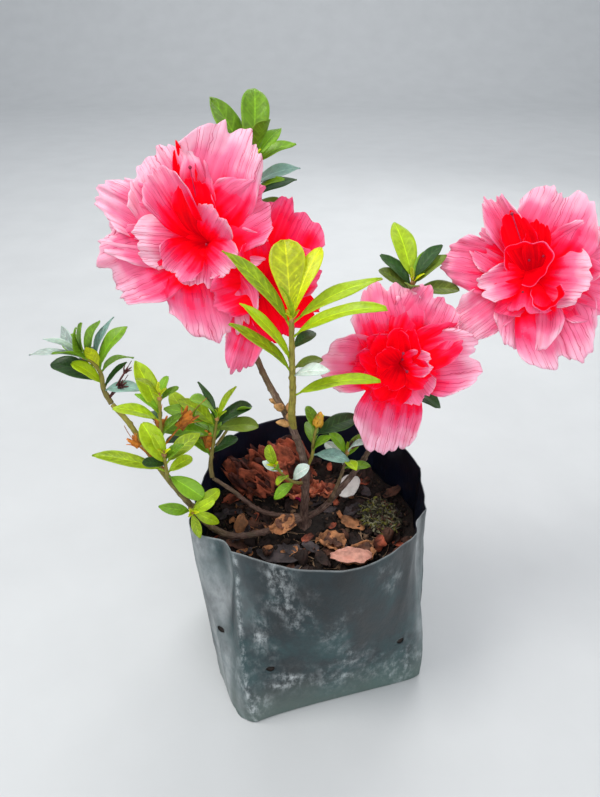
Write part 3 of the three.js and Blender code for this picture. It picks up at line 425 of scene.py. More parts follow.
# Plain finishes: colour, roughness, fineness of the mottling, its spread, and the relief
MOTTLED = {
    "soil": (34, 25, 21, 0.95, 300, 0.5, 0.0008),
    "soil_crumb": (66, 48, 38, 0.95, 500, 0.5, 0.0004),
    "soil_chip": (112, 86, 66, 0.9, 400, 0.4, 0.0004),
    "fibre": (150, 122, 96, 0.85, 500, 0.3, 0.0002),
    "calyx_green": (120, 140, 44, 0.55, 260, 0.25, 0.0002),
    "calyx_dry": (184, 108, 26, 0.7, 240, 0.6, 0.0002),
    "calyx_dark": (84, 30, 30, 0.6, 320, 0.5, 0.0002),
    "style": (206, 30, 80, 0.45, 260, 0.25, 0.0002),
    "anther": (150, 22, 60, 0.6, 260, 0.25, 0.0002),
    "bud": (214, 158, 40, 0.5, 350, 0.35, 0.0002),
    "bud_scale": (176, 132, 78, 0.65, 350, 0.35, 0.0002),
    # Withered brown and red: their strong dark mottling and the red's darkness are partly their colour,
    # partly painted shade in the withered bloom's creases
    "withered_brown": (156, 76, 52, 0.75, 130, 0.85, 0.0009),
    "withered_red": (78, 34, 26, 0.75, 130, 0.85, 0.0009),
    "withered_pink": (208, 118, 84, 0.7, 260, 0.5, 0.0004),
    "withered_magenta": (190, 20, 96, 0.6, 260, 0.3, 0.0003),
    "dead_brown": (92, 58, 44, 0.8, 180, 0.7, 0.0004),
    "dead_grey": (70, 62, 64, 0.85, 180, 0.6, 0.0004),
    "dead_tan": (164, 110, 72, 0.8, 180, 0.6, 0.0004),
    "dead_pink": (206, 150, 134, 0.8, 220, 0.3, 0.0004),
    "dead_dark": (48, 32, 28, 0.85, 180, 0.6, 0.0004),
    "flake": (206, 202, 198, 0.8, 160, 0.16, 0.0003),
    "moss_dark": (54, 52, 34, 0.9, 300, 0.4, 0.0002),
    "moss_grey": (120, 118, 92, 0.9, 300, 0.35, 0.0002),
    "moss_green": (112, 112, 40, 0.9, 300, 0.35, 0.0002),
}
# A petal's colours by share of its reach, from the throat's red to the pale margin. The first,
# darkest red is painted shade deep in the throat and its hollows
PETAL_TINTS = [
    (0.14, 120, 0, 10), (0.34, 200, 0, 8), (0.47, 220, 0, 24), (0.57, 226, 24, 70), (0.67, 230, 66, 112),
    (0.81, 234, 112, 150), (0.97, 246, 188, 208),
]
# Bands of a petal, each with a finish of its own: where each starts, and how much it glows; the
# first few are the red ones
PETAL_BANDS = [0.0, 0.46, 0.56, 0.65, 0.76, 0.88]
PETAL_GLOWS = [0.38, 0.32, 0.17, 0.1, 0.08, 0.08]
RED_BANDS = 3
LAST_TINT = 1.1
BAND_OVERLAP = 0.07
# Colours of the veins, and of the painted highlights streaked on the outer petals
PETAL_VEIN, PETAL_HIGHLIGHT = (186, 8, 70), (255, 190, 210)


def unit(vector):
    return vector / np.linalg.norm(vector)


def rgb(*shown):
    """A colour as a screen shows it, 0 to 255, turned to linear light."""
    shown = np.array(shown) / 255
    linear = np.where(shown <= 0.04045, shown / 12.92, ((shown + 0.055) / 1.055) ** 2.4)
    return (*linear.tolist(), 1.0)


def shaded(colour, factor, lift=(0, 0, 0)):
    return (*(min(1, c * factor + extra) for c, extra in zip(colour, lift)), 1.0)


def draws(seed):
    """Seeded draws between 0 and 1."""
    state = seed

    def following():
        nonlocal state
        state = (state * 1664525 + 1013904223) % 2**32
        return state / 2**32

    following()
    following()
    return following


def wobble(seed, size, waves=7):
    """A smooth seeded field over space, about -1 to 1, with features of a size in mm."""
    rng = np.random.default_rng(seed)
    directions = rng.normal(size=(waves, 3))
    directions /= np.linalg.norm(directions, axis=1, keepdims=True)
    directions *= (rng.uniform(0.6, 1.7, waves) * ROUND / size)[:, None]
    phases = rng.uniform(0, ROUND, waves)

    def field(points):
        return np.sin(points @ directions.T + phases).sum(-1) / math.sqrt(2 * waves)

    return field


def hill(value, middle, width):
    """A smooth hill, 1 at its middle."""
    return np.exp(-(((value - middle) / width) ** 2))


def smoothstep(value, low, high):
    share = np.clip((value - low) / (high - low), 0, 1)
    return share * share * (3 - 2 * share)


def cross_frame(axis):
    """Two directions square to an axis: the first as near +X as can be."""
    first = unit(np.array([1.0, 0, 0]) - axis[0] * axis)
    return first, np.cross(axis, first)


def outward(axis, turn):
    """The direction out from an axis at a turn in radians, and the one square to both."""
    first, second = cross_frame(axis)
    out = math.cos(turn) * first + math.sin(turn) * second
    return out, np.cross(axis, out)


def tilted(place, turn, tilt):
    """A place with three directions of its own: along at a turn and tilt, across, and up."""
    along = np.array([np.cos(turn) * np.cos(tilt), np.sin(turn) * np.cos(tilt), np.sin(tilt)])
    across = np.array([-np.sin(turn), np.cos(turn), 0])
    return place, along, across, np.cross(along, across)


def moved(place, *moves):
    """A place moved by amounts along directions."""
    for amount, direction in moves:
        place = place + np.asarray(amount)[..., None] * direction
    return place


def sheet_places(rows, columns, low=0):
    """Shares along a sheet, from low to 1, and across it, from -1 to 1."""
    return np.meshgrid(np.linspace(low, 1, rows), np.linspace(-1, 1, columns), indexing="ij")


class Route:
    """A smooth curve through points, run along by share of its length."""

    def __init__(self, points):
        self.knots = np.array(points, float)
        self.steps = np.linspace(0, 1, 201)
        places = np.array([self.point(step) for step in self.steps])
        pieces = np.linalg.norm(np.diff(places, axis=0), axis=1)
        self.run = np.concatenate([[0], np.cumsum(pieces)])
        self.length = self.run[-1]

    def point(self, step):
        knots, count = self.knots, len(self.knots)
        x = (count - 1) * step
        k = min(int(x), count - 2)
        w = x - k
        before = knots[k - 1] if k > 0 else 2 * knots[0] - knots[1]
        start, end = knots[k], knots[k + 1]
        after = knots[k + 2] if k + 2 < count else 2 * knots[-1] - knots[-2]
        pairs = ((before, start), (start, end), (end, after))
        e0, e1, e2 = (max(np.linalg.norm(b - a), 1e-8) ** 0.5 for a, b in pairs)
        leave = ((start - before) / e0 - (end - before) / (e0 + e1) + (end - start) / e1) * e1
        arrive = ((end - start) / e1 - (after - start) / (e1 + e2) + (after - end) / e2) * e1
        square = -3 * start + 3 * end - 2 * leave - arrive
        cube = 2 * start - 2 * end + leave + arrive
        return start + leave * w + square * w**2 + cube * w**3

    def step(self, share):
        return np.interp(share * self.length, self.run, self.steps)

    def at(self, share):
        return self.point(self.step(share))

    def tangent(self, share):
        step = self.step(share)
        return unit(self.point(min(1, step + 1e-4)) - self.point(max(0, step - 1e-4)))


def link(thing):
    bpy.context.scene.collection.objects.link(thing)
    return thing


def new_object(name, points, faces, materials):
    """A smooth mesh with its points in metres."""
    mesh = bpy.data.meshes.new(name)
    mesh.from_pydata(points, [], faces)
    mesh.polygons.foreach_set("use_smooth", np.ones(len(faces), bool))
    for material in materials:
        mesh.materials.append(material)
    return link(bpy.data.objects.new(name, mesh))


class Skin:
    """Collects points in mm, faces with their finish's number, and marks per point."""

    def __init__(self):
        self.points, self.faces, self.kinds, self.marks = [], [], [], []
        self.count = 0

    def add(self, points, faces, kinds=0, marks=None):
        points = np.asarray(points, float).reshape(-1, 3)
        faces = faces.tolist() if isinstance(faces, np.ndarray) else faces
        self.points.append(points)
        self.faces.extend([corner + self.count for corner in face] for face in faces)
        self.kinds.append(np.broadcast_to(kinds, len(faces)))
        self.marks.append(np.zeros((len(points), 3)) if marks is None else np.reshape(marks, (-1, 3)))
        self.count += len(points)

    def build(self, name, finishes, node, slot):
        """Makes the piece: it rides on the plant and stands for its CAD node."""
        materials = [FINISHES[finish] for finish in finishes]
        piece = new_object(name, (np.concatenate(self.points) * MM).tolist(), self.faces, materials)
        mesh = piece.data
        mesh.polygons.foreach_set("material_index", np.concatenate(self.kinds).astype(np.int32))
        marks = mesh.attributes.new("place", "FLOAT_VECTOR", "POINT")
        marks.data.foreach_set("vector", np.concatenate(self.marks).astype(np.float32).ravel())
        mesh.update()
        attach(piece, "root")
        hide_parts(node)
        return piece


def grid_faces(rows, columns, wrap=False):
    """Quads over a grid of points, facing across x down."""
    r, c = np.meshgrid(np.arange(rows - 1), np.arange(columns if wrap else columns - 1), indexing="ij")
    a, b = r * columns + c, r * columns + (c + 1) % columns
    return np.stack([a, b, b + columns, a + columns], -1).reshape(-1, 4)


def normals(grid):
    """The grid's directions across x down at each point."""
    square = np.cross(np.gradient(grid, axis=1), np.gradient(grid, axis=0))
    return square / np.maximum(np.linalg.norm(square, axis=-1, keepdims=True), 1e-9)


def add_sheet(skin, grid, thickness, kinds=0, marks=None, back=None, bands=None):
    """A closed sheet of even thickness over a grid of points. Kinds is one, or those of the top,
    the underside and the edge; the top's may be one a column. With bands, each face's kind is the
    band that its first mark falls in."""
    rows, columns = grid.shape[:2]
    half = normals(grid) * thickness / 2
    faces = grid_faces(rows, columns)
    shift = rows * columns
    border = np.concatenate([
        np.arange(columns - 1),
        np.arange(rows - 1) * columns + columns - 1,
        (rows - 1) * columns + np.arange(columns - 1, 0, -1),
        np.arange(rows - 1, 0, -1) * columns,
    ])
    following = np.roll(border, -1)
    rim = np.stack([border, border + shift, following + shift, following], -1)
    top, under, edge = kinds if isinstance(kinds, tuple) else (kinds, kinds, kinds)
    top = np.broadcast_to(top, (rows - 1, columns - 1)).ravel()
    kinds = np.concatenate([top, np.full(len(faces), under), np.full(len(rim), edge)])
    faces = np.concatenate([faces, faces[:, ::-1] + shift, rim])
    both = None
    if marks is not None:
        both = np.concatenate([side.reshape(-1, 3) for side in (marks, marks if back is None else back)])
    if bands is not None:
        kinds = np.digitize(both[faces].mean(1)[:, 0], bands[1:])
    points = np.concatenate([(grid + half).reshape(-1, 3), (grid - half).reshape(-1, 3)])
    skin.add(points, faces, kinds, both)


def sweep(path, radii, sides):
    """Rings round a path, carried along it without twist. Radii may be one for each point of each
    ring."""
    path = np.asarray(path, float)
    tangents = np.gradient(path, axis=0)
    tangents /= np.linalg.norm(tangents, axis=1, keepdims=True)
    helper = np.array([0, 1.0, 0]) if abs(tangents[0][1]) < 0.9 else np.array([1.0, 0, 0])
    first = unit(np.cross(tangents[0], helper))
    turns = ROUND * np.arange(sides) / sides
    rings = []
    for point, tangent, radius in zip(path, tangents, np.asarray(radii, float).reshape(len(path), -1)):
        first = unit(first - (first @ tangent) * tangent)
        spokes = np.outer(np.cos(turns), first) + np.outer(np.sin(turns), np.cross(tangent, first))
        rings.append(point + radius[:, None] * spokes)
    return np.array(rings)


def add_rings(skin, rings, kind=0, marks=None, flip=False):
    """A closed skin over rings, with a fan over each end."""
    count, sides = rings.shape[:2]
    i = np.arange(sides)
    following, last, middle = (i + 1) % sides, (count - 1) * sides, np.full(sides, count * sides)
    fans = [[middle, following, i], [middle + 1, last + i, last + following]]
    faces = grid_faces(count, sides, wrap=True).tolist()
    faces += [face for fan in fans for face in np.stack(fan, -1).tolist()]
    if flip:
        faces = [face[::-1] for face in faces]
    if marks is not None:
        marks = np.concatenate([marks.reshape(-1, 3), marks[0][:1], marks[-1][:1]])
    skin.add(np.concatenate([rings.reshape(-1, 3), rings[[0, -1]].mean(1)]), faces, kind, marks)


def add_tube(skin, path, radii, sides=6, kind=0, marks=None):
    """A closed tube along a path."""
    add_rings(skin, sweep(path, radii, sides), kind, marks)


def feed(tree, socket, value):
    """Links a value to a socket, or sets a constant there."""
    if isinstance(value, Value):
        tree.links.new(value.socket, socket)
    else:
        socket.default_value = value


def add_node(tree, kind, inputs, **settings):
    node = tree.nodes.new(kind)
    for key, value in settings.items():
        setattr(node, key, value)
    for key, value in inputs.items():
        feed(tree, node.inputs[key], value)
    return node


class Value:
    """What a socket gives out. Each step taken with it adds a node."""

    def __init__(self, tree, socket):
        self.tree, self.socket = tree, socket

    def taken(self, kind, inputs, **settings):
        return Value(self.tree, add_node(self.tree, kind, inputs, **settings).outputs[0])

    def sums(self, operation, *others):
        return self.taken("ShaderNodeMath", dict(enumerate((self, *others))), operation=operation)

    def __add__(self, other):
        return self.sums("ADD", other)

    def __sub__(self, other):
        return self.sums("SUBTRACT", other)

    def __mul__(self, other):
        return self.sums("MULTIPLY", other)

    def __abs__(self):
        return self.sums("ABSOLUTE")

    def parts(self):
        node = add_node(self.tree, "ShaderNodeSeparateXYZ", {0: self})
        return [Value(self.tree, output) for output in node.outputs]

    def joined(self, second, third):
        return self.taken("ShaderNodeCombineXYZ", {0: self, 1: second, 2: third})

    def stretched(self, *scale):
        return self.taken("ShaderNodeMapping", {"Vector": self, "Scale": scale})

    def noise(self, scale, detail=4.0, roughness=0.55):
        inputs = {"Vector": self, "Scale": scale, "Detail": detail, "Roughness": roughness}
        return self.taken("ShaderNodeTexNoise", inputs)

    def between(self, low, high, start=0.0, end=1.0):
        """Low to high turned to start to end, held beyond them, and smooth."""
        inputs = {"Value": self, "From Min": low, "From Max": high, "To Min": start, "To Max": end}
        return self.taken("ShaderNodeMapRange", inputs, interpolation_type="SMOOTHSTEP")

    def ramp(self, *stops):
        """Colours from stops: place, red, green and blue."""
        node = add_node(self.tree, "ShaderNodeValToRGB", {0: self})
        elements = node.color_ramp.elements
        while len(elements) < len(stops):
            elements.new(0.5)
        for element, (position, *colour) in zip(elements, stops):
            element.position = position
            element.color = rgb(*colour)
        return Value(self.tree, node.outputs[0])

    def mix(self, first, second):
        """From a first colour to a second by this share."""
        node = add_node(self.tree, "ShaderNodeMix", {}, data_type="RGBA")
        sockets = [socket for socket in node.inputs if socket.enabled]
        for socket, value in zip(sockets, (self, first, second)):
            feed(self.tree, socket, value)
        return Value(self.tree, next(socket for socket in node.outputs if socket.enabled))


class Shader:
    """One node material, built round a Principled surface."""

    def __init__(self, name, roughness, **settings):
        self.material = bpy.data.materials.new(name)
        self.material.use_nodes = True
        self.tree = self.material.node_tree
        self.surface = self.tree.nodes["Principled BSDF"]
        for socket, value in {"Roughness": roughness, **settings}.items():
            self.set(socket.replace("_", " "), value)
        self.spot = self.source("ShaderNodeTexCoord", "Object")

    def source(self, kind, output, **settings):
        return Value(self.tree, add_node(self.tree, kind, {}, **settings).outputs[output])

    def marks(self):
        """The marks of each point, one by one."""
        return self.source("ShaderNodeAttribute", "Vector", attribute_name="place").parts()

    def set(self, socket, value):
        feed(self.tree, self.surface.inputs[socket], value)

    def bump(self, height, distance, strength=0.6):
        self.set("Normal", height.taken("ShaderNodeBump", {
            "Height": height, "Distance": distance, "Strength": strength,
        }))


def film_outside():
    """Dusty black film: slate grey, with whitish scuffs and a green-grey bloom low down, with painted
    sheen where its sides face the light and painted highlights on its rim and its left corner fold.
    Marks: dust with that sheen and the rim's highlight, then rubbed places with the fold's highlight,
    from 0 to 1."""
    s = Shader("film_outside", 0.5)
    dust_and_sheen, rubbed_and_ridge_highlight, _ = s.marks()
    broad = s.spot.stretched(1, 1, 0.8).noise(34, 7, 0.66)
    fine = s.spot.stretched(1, 1, 0.5).noise(170, 6, 0.65)
    slate = broad.ramp((0.38, 4, 17, 22), (0.5, 12, 35, 41), (0.62, 36, 66, 69))
    low = (s.spot.parts()[2] + s.spot.noise(60) * 0.03).between(0.05, 0.015, 0, 0.55)
    dusty_and_sheened = low.mix(slate, rgb(102, 122, 115))
    # Pale where dusty, and with painted sheen where the film faces the light
    dusty_and_sheened = (dust_and_sheen * fine.between(0.3, 0.7, 0.5, 1.0)).mix(dusty_and_sheened, rgb(168, 174, 176))
    patches = s.spot.stretched(1, 1, 0.8).noise(30, 4, 0.65).between(0.5, 0.72)
    grit = s.spot.stretched(1.3, 1.3, 0.7).noise(210, 7, 0.75).between(0.42, 0.68)
    # Whitish scuffs, and the painted highlight along the left corner fold's ridge
    scuffs_and_ridge_highlight = (patches * 0.6).sums("MAXIMUM", rubbed_and_ridge_highlight) * grit * 0.8
    s.set("Base Color", scuffs_and_ridge_highlight.mix(dusty_and_sheened, rgb(205, 212, 214)))
    s.set("Roughness", broad.between(0.3, 0.7, 0.36, 0.56))
    s.bump(s.spot.stretched(1, 1, 0.35).noise(90, 6, 0.6) + fine * 0.35, 0.0012, 0.55)
    return s.material


def film_inside():
    s = Shader("film_inside", 0.32)
    s.set("Base Color", s.spot.noise(40, 5).ramp((0.3, 10, 14, 26), (0.6, 20, 28, 48), (0.8, 44, 54, 72)))
    s.bump(s.spot.stretched(1, 1, 0.4).noise(80, 5), 0.002, 0.5)
    return s.material


def mottled(name, colour, roughness, scale, spread, relief):
    """A base colour with fine mottling and relief of the same scale."""
    s = Shader(name, roughness)
    patch = s.spot.noise(scale, 5, 0.6)
    s.set("Base Color", patch.between(0.3, 0.7).mix(shaded(colour, 1 - spread), shaded(colour, 1 + spread)))
    s.bump(patch + s.spot.noise(scale * 3.5, 3), relief)
    return s.material


def bark():
    """Grey-brown bark that turns green and smooth towards young wood, streaked along the limb.
    Marks: across the streaks, along the limb in mm, and youth from 0 to 1."""
    s = Shader("bark", 0.75)
    across, run, youth = s.marks()
    streak = (across * 2.4).joined(run * 0.16, 0.0).noise(1.6, 6, 0.65)
    patch = s.spot.noise(120, 4)
    old = streak.ramp((0.28, 38, 26, 24), (0.46, 86, 62, 54), (0.62, 128, 104, 92), (0.8, 176, 160, 150))
    old = patch.between(0.5, 0.75, 0, 0.5).mix(old, rgb(70, 66, 50))
    young = streak.ramp((0.3, 110, 88, 34), (0.55, 146, 140, 52), (0.85, 196, 156, 90))
    s.set("Base Color", (youth + patch * 0.3).between(0.35, 0.85).mix(old, young))
    s.bump(streak, 0.0005, 0.7)
    return s.material


def petal(number):
    """One band of the petals, with veins that fan out. Marks: tint as a share of the reach, place
    across from -1 to 1, and a number of the petal's own."""
    red = number < RED_BANDS
    # The bands glow, the red ones most: painted light that lifts the shade in the throat
    s = Shader(
        f"petal_{number}", 0.6, Subsurface_Weight=0.2, Subsurface_Scale=0.003,
        Subsurface_Radius=(1.0, 0.3, 0.35), Specular_IOR_Level=0.04 if red else 0.2,
        Emission_Color=(1.0, 0.0, 0.01, 1.0) if red else (1.0, 0.16, 0.32, 1.0),
        Emission_Strength=PETAL_GLOWS[number],
    )
    share, across, own = s.marks()
    start, end = [*PETAL_BANDS, LAST_TINT][number:number + 2]
    share = share.sums("MAXIMUM", start - BAND_OVERLAP).sums("MINIMUM", end + BAND_OVERLAP)
    tint = share.ramp(*PETAL_TINTS)
    sway = s.spot.noise(130, 3) * 3.2
    broken = s.spot.noise(90, 3)
    vein = 0.0
    for fan, width, strength in ((12.0, 0.16, 0.9), (27.0, 0.24, 0.75)):
        line = abs((across * fan + own * 7.0 + sway).sums("SINE"))
        part = line.between(width, 0.0) * broken.between(0.36, 0.62, 0.1, strength)
        vein = part.sums("MAXIMUM", vein)
    veined = (vein * share.between(0.4, 0.6)).mix(tint, rgb(*PETAL_VEIN))
    # Pale streaks out on the petal are painted highlights where its pleats catch the light
    streak = (across * 16.0).joined(own, share).noise(1, 5)
    highlighted = streak.between(0.5, 0.78, 0, 0.12).mix(veined, rgb(*PETAL_HIGHLIGHT))
    s.set("Base Color", share.between(0.5, 0.62).mix(veined, highlighted))
    s.bump(s.spot.noise(260, 5) + streak * 0.4 - vein * 0.5, 0.0005)
    return s.material


def blade_skin(name, colour, roughness):
    """A leaf's skin, paler along its side veins and margin. Marks: share of the blade, place
    across from -1 to 1, and a tone of the leaf's own from 0 to 1."""
    s = Shader(name, roughness, Subsurface_Weight=0.06, Subsurface_Scale=0.001, Specular_IOR_Level=0.35)
    share, across, own = s.marks()
    wide = abs(across)
    vein = (share * 40.8 - wide * 8.2).sums("SINE").between(0.6, 1.0) * wide.between(1.0, 0.5, 0.0, 0.3)
    vein = vein.sums("MAXIMUM", wide.between(0.84, 1.0, 0.0, 0.4))
    patch = s.spot.noise(420, 5, 0.6)
    tone = (patch + own * 0.5).between(0.35, 1.15).mix(shaded(colour, 0.58), shaded(colour, 1.36))
    s.set("Base Color", vein.mix(tone, shaded(colour, 1.5, (0.03, 0.04, 0.01))))
    s.bump(patch + s.spot.noise(1400, 3), 0.0002)
    return s.material


FINISHES = {name: mottled(name, rgb(*row[:3]), *row[3:]) for name, row in MOTTLED.items()}
FINISHES.update(film_outside=film_outside(), film_inside=film_inside(), bark=bark())
FINISHES.update({f"petal_{band}": petal(band) for band in range(len(PETAL_BANDS))})
# The blossom's finishes: its petals' bands, then the sepals, the threads and their knobs
BLOSSOM_FINISHES = [f"petal_{band}" for band in range(len(PETAL_BANDS))]
BLOSSOM_FINISHES += ["calyx_green", "style", "anther"]
GREEN, THREAD, KNOB = range(len(PETAL_BANDS), len(BLOSSOM_FINISHES))
# The leaves' finishes, one for each tone, on the face, then along the midrib, then at the back
LEAF_FINISHES = []
for side, lift, roughness in (("face", 1.0, 0.42), ("rib", 1.5, 0.5), ("back", 1.25, 0.6)):
    for code, tone in LEAF_TONES.items():
        LEAF_FINISHES.append(f"leaf_{code}_{side}")
        colour = shaded(rgb(*tone), lift)[:3]
        FINISHES[LEAF_FINISHES[-1]] = blade_skin(LEAF_FINISHES[-1], colour, roughness)
TWIG_FINISHES = ["bark", "bud_scale", "calyx_green", "calyx_dry", "calyx_dark", "bud"]
SCALE, DRY, PLUMP = (TWIG_FINISHES.index(name) for name in ("bud_scale", "calyx_dry", "bud"))

# Seeds of the draws: the drains' edges, the soil and its scraps; then, each with a number of its
# own added, bark, limbs, masses and calyxes
DRAIN_SEED, SOIL_SEED, SCRAP_SEED = 7, 73, 611
BARK_SEED, LIMB_SEED, MASS_SEED, CALYX_SEED = 300, 700, 900, 500
FILM_WRINKLE, FILM_RIPPLE = wobble(61, 26), wobble(62, 9, 9)
DUST_AND_SHEEN_STREAKS, SCUFF_CLOUD = wobble(63, 9), wobble(64, 12)
SOIL_LUMPS, SOIL_CLODS = wobble(71, 9), wobble(72, 3.4, 9)
KNOT, GRAIN = wobble(81, 5), wobble(82, 1.6, 9)
TINT_CLOUD = wobble(91, 9)


def bearing_off(bearing, middle):
    """Degrees from a middle, in degrees, to a bearing in radians, the short way round."""
    off = bearing - np.radians(middle)
    return np.degrees(np.arctan2(np.sin(off), np.cos(off)))


def swelling(bearing, reach, middle, width):
    return reach * hill(bearing_off(bearing, middle), 0, width)


def rim_height(bearing):
    sway = RIM_SWAY * np.cos(bearing + np.radians(BAG_TURN - RIM_HIGH_SIDE))
    return BAG_HEIGHT + sway + 0.9 * np.sin(3 * bearing + 1) + 0.5 * np.sin(5 * bearing + 2)


def creases(bearing, share):
    """How far the folds push the film out, in mm."""
    total = 0.0
    for low, high, height, width, sharp, start, end in FOLDS:
        off = np.abs(bearing_off(bearing, low + (high - low) * share)) / width
        profile = np.exp(-off) if sharp else np.exp(-off * off)
        height = height * profile * smoothstep(share, start, start + 0.2)
        total += height * smoothstep(share, end, end - 0.35)
    return total


def bag_point(bearing, share, inset=0.0, height=None):
    """A point of the bag's outside, drawn in by an inset, at a share of the rim's height."""
    bearing, share = np.broadcast_arrays(np.asarray(bearing, float), np.asarray(share, float))
    ways = zip((np.cos(bearing), np.sin(bearing)), BAG_HALF)
    squarish = sum(np.abs(way / half) ** BAG_SQUARENESS for way, half in ways)
    bottom = squarish ** (-1 / BAG_SQUARENESS) + swelling(bearing, *BULGE)
    mouth = MOUTH_RADIUS + sum(swelling(bearing, *place) for place in MOUTH_SWELLINGS)
    opening = smoothstep(share, 0, 1)
    radius = bottom + (mouth - bottom) * opening
    radius = radius + BELLY * np.sin(np.pi * np.minimum(1, share * 1.2)) - inset
    world = bearing + np.radians(BAG_TURN)

    def point(radius, height):
        height = np.broadcast_to(height, radius.shape)
        return np.stack([radius * np.cos(world), radius * np.sin(world), height], -1)

    if height is None:
        height = share * rim_height(bearing)
        plain = point(radius, height) * (1, 1, 0.3)
        wrinkles = WRINKLE * FILM_WRINKLE(plain) + RIPPLE * FILM_RIPPLE(plain)
        radius = radius + creases(bearing, share) + smoothstep(share, 0, 0.06) * wrinkles
    return point(radius, height) + opening[..., None] * MOUTH_CENTRE


def bag_bearings(count):
    """Bearings closer together at the bottom's corners."""
    even = ROUND * np.arange(count) / count
    crowded = even - 0.125 * np.sin(4 * (even - np.pi / 4))
    return np.arctan2(np.sin(crowded) * BAG_HALF[1], np.cos(crowded) * BAG_HALF[0])


def punch_drains(points, faces):
    """Rounds off the holes' edges, and finds the faces that lie inside them."""
    centres = points[faces].mean(1)
    punched = np.zeros(len(faces), bool)
    rng = np.random.default_rng(DRAIN_SEED)
    for bearing, height in DRAINS:
        hole = bag_point(np.radians(bearing), height / BAG_HEIGHT)
        inside = np.linalg.norm(centres - hole, axis=1) < DRAIN_HOLE
        punched |= inside
        edge = np.unique(faces[inside])
        spread = points[edge] - hole
        far = np.linalg.norm(spread, axis=1, keepdims=True)
        points[edge] = hole + spread / far * DRAIN_HOLE * rng.uniform(0.86, 1.06, (len(edge), 1))
    return punched


def film_marks(points):
    """Dust with painted sheen and the rim's painted highlight, and rubbed places with a painted highlight
    on the left corner fold, at points of the film, whose last ones are the rim's.
    """
    bearing = (np.degrees(np.arctan2(points[:, 1], points[:, 0])) - BAG_TURN + 180) % 360 - 180
    lifted = points[:, 2] / BAG_HEIGHT
    # The sides are paler, partly with dust and partly with painted sheen where they face the light and
    # catch it on their folds
    left = hill(bearing, -158, 15)
    right = hill(bearing, -33 - 8 * lifted, 9) * smoothstep(lifted, 0.0, 0.5)
    streaks = 0.5 + 0.5 * DUST_AND_SHEEN_STREAKS(points * (1, 1, 0.12))
    dust_and_sheen = np.clip((1.1 * left + right) * streaks, 0, MOST_DUST_AND_SHEEN)
    # The rim's edge gets a painted highlight
    dust_and_sheen[-BAG_COLUMNS:] = np.maximum(dust_and_sheen[-BAG_COLUMNS:], RIM_HIGHLIGHT)
    rubbed_and_ridge_highlight = sum(hill(points[:, 0], x, wide) * hill(points[:, 2], z, high) for x, z, wide, high in SCUFFS)
    rubbed_and_ridge_highlight = rubbed_and_ridge_highlight * (points[:, 1] < 0) * (0.6 + 0.4 * SCUFF_CLOUD(points))
    # A painted highlight along the ridge of the left corner fold
    rubbed_and_ridge_highlight = np.clip(rubbed_and_ridge_highlight + 0.8 * hill(bearing, -134.5 - 10.5 * lifted, 1.1), 0, 1)
    return np.stack([dust_and_sheen, rubbed_and_ridge_highlight, dust_and_sheen], -1)


def make_bag():
    bearings = bag_bearings(BAG_COLUMNS)
    shares = np.concatenate([np.linspace(0, 0.03, 5)[1:], np.linspace(0.03, 1, BAG_ROWS)[1:]])
    wall = bag_point(bearings[None], shares[:, None])
    foot = bag_point(bearings, 0, 1.2, 0.0)
    middle = foot.mean(0)
    base = middle + (foot - middle) * np.linspace(0, 1, BASE_RINGS + 1)[1:, None, None]
    base[..., 2] = 0
    grid = np.concatenate([base, wall])
    points = grid.reshape(-1, 3)
    faces = grid_faces(len(grid), BAG_COLUMNS, wrap=True)
    faces = faces[~punch_drains(points, faces)]
    ring = np.arange(BAG_COLUMNS)
    disc = np.stack([np.full(BAG_COLUMNS, len(points)), np.roll(ring, -1), ring], -1)
    skin = Skin()
    marks = np.concatenate([film_marks(points), np.zeros((1, 3))])
    skin.add(np.concatenate([points, middle[None]]), faces.tolist() + disc.tolist(), 0, marks)
    piece = skin.build("bag_film", ["film_outside", "film_inside"], "grow_bag", "bag_film")
    solid = piece.modifiers.new("film", "SOLIDIFY")
    solid.thickness = FILM * MM
    solid.offset = -1
    solid.material_offset = 1
    solid.material_offset_rim = 0


def soil_surface(bearing, share):
    """A point of the soil's top, from the stem's foot out to the film."""
    share = np.asarray(share)
    point = SOIL_FOOT + (bag_point(bearing, SOIL_SHARE, SOIL_GAP) - SOIL_FOOT) * share[..., None]
    x, y = point[..., 0], point[..., 1]
    bump = np.sin(0.31 * x + 0.4) * np.cos(0.27 * y) + 0.5 * np.sin(0.63 * x - 0.5 * y)
    felt = smoothstep(share, 0.15, 0.3) * smoothstep(share, 1.0, 0.85)
    rough = 0.55 * SOIL_LUMPS(point) + 0.35 * SOIL_CLODS(point)
    point[..., 2] += felt * 0.9 * (bump - 1) + rough * smoothstep(share, 1.0, 0.9)
    return point


def add_fibre(skin, rng, kind):
    start = soil_surface(rng.uniform(0, ROUND), math.sqrt(rng.uniform(0.02, 0.8))) + (0, 0, 0.5)
    heading, length = rng.uniform(0, ROUND), rng.uniform(4, 16)
    angle = heading + rng.normal(0, 0.5) * np.linspace(0, 1, 9)
    climb = 0.18 * rng.normal(size=9)
    path = start + np.cumsum(np.stack([np.cos(angle), np.sin(angle), climb], -1), 0) * length / 9
    path = path[np.hypot(path[:, 0], path[:, 1]) < FIBRE_RANGE]
    if len(path) > 3:
        add_tube(skin, path, np.full(len(path), rng.uniform(0.12, 0.3)), 4, kind)


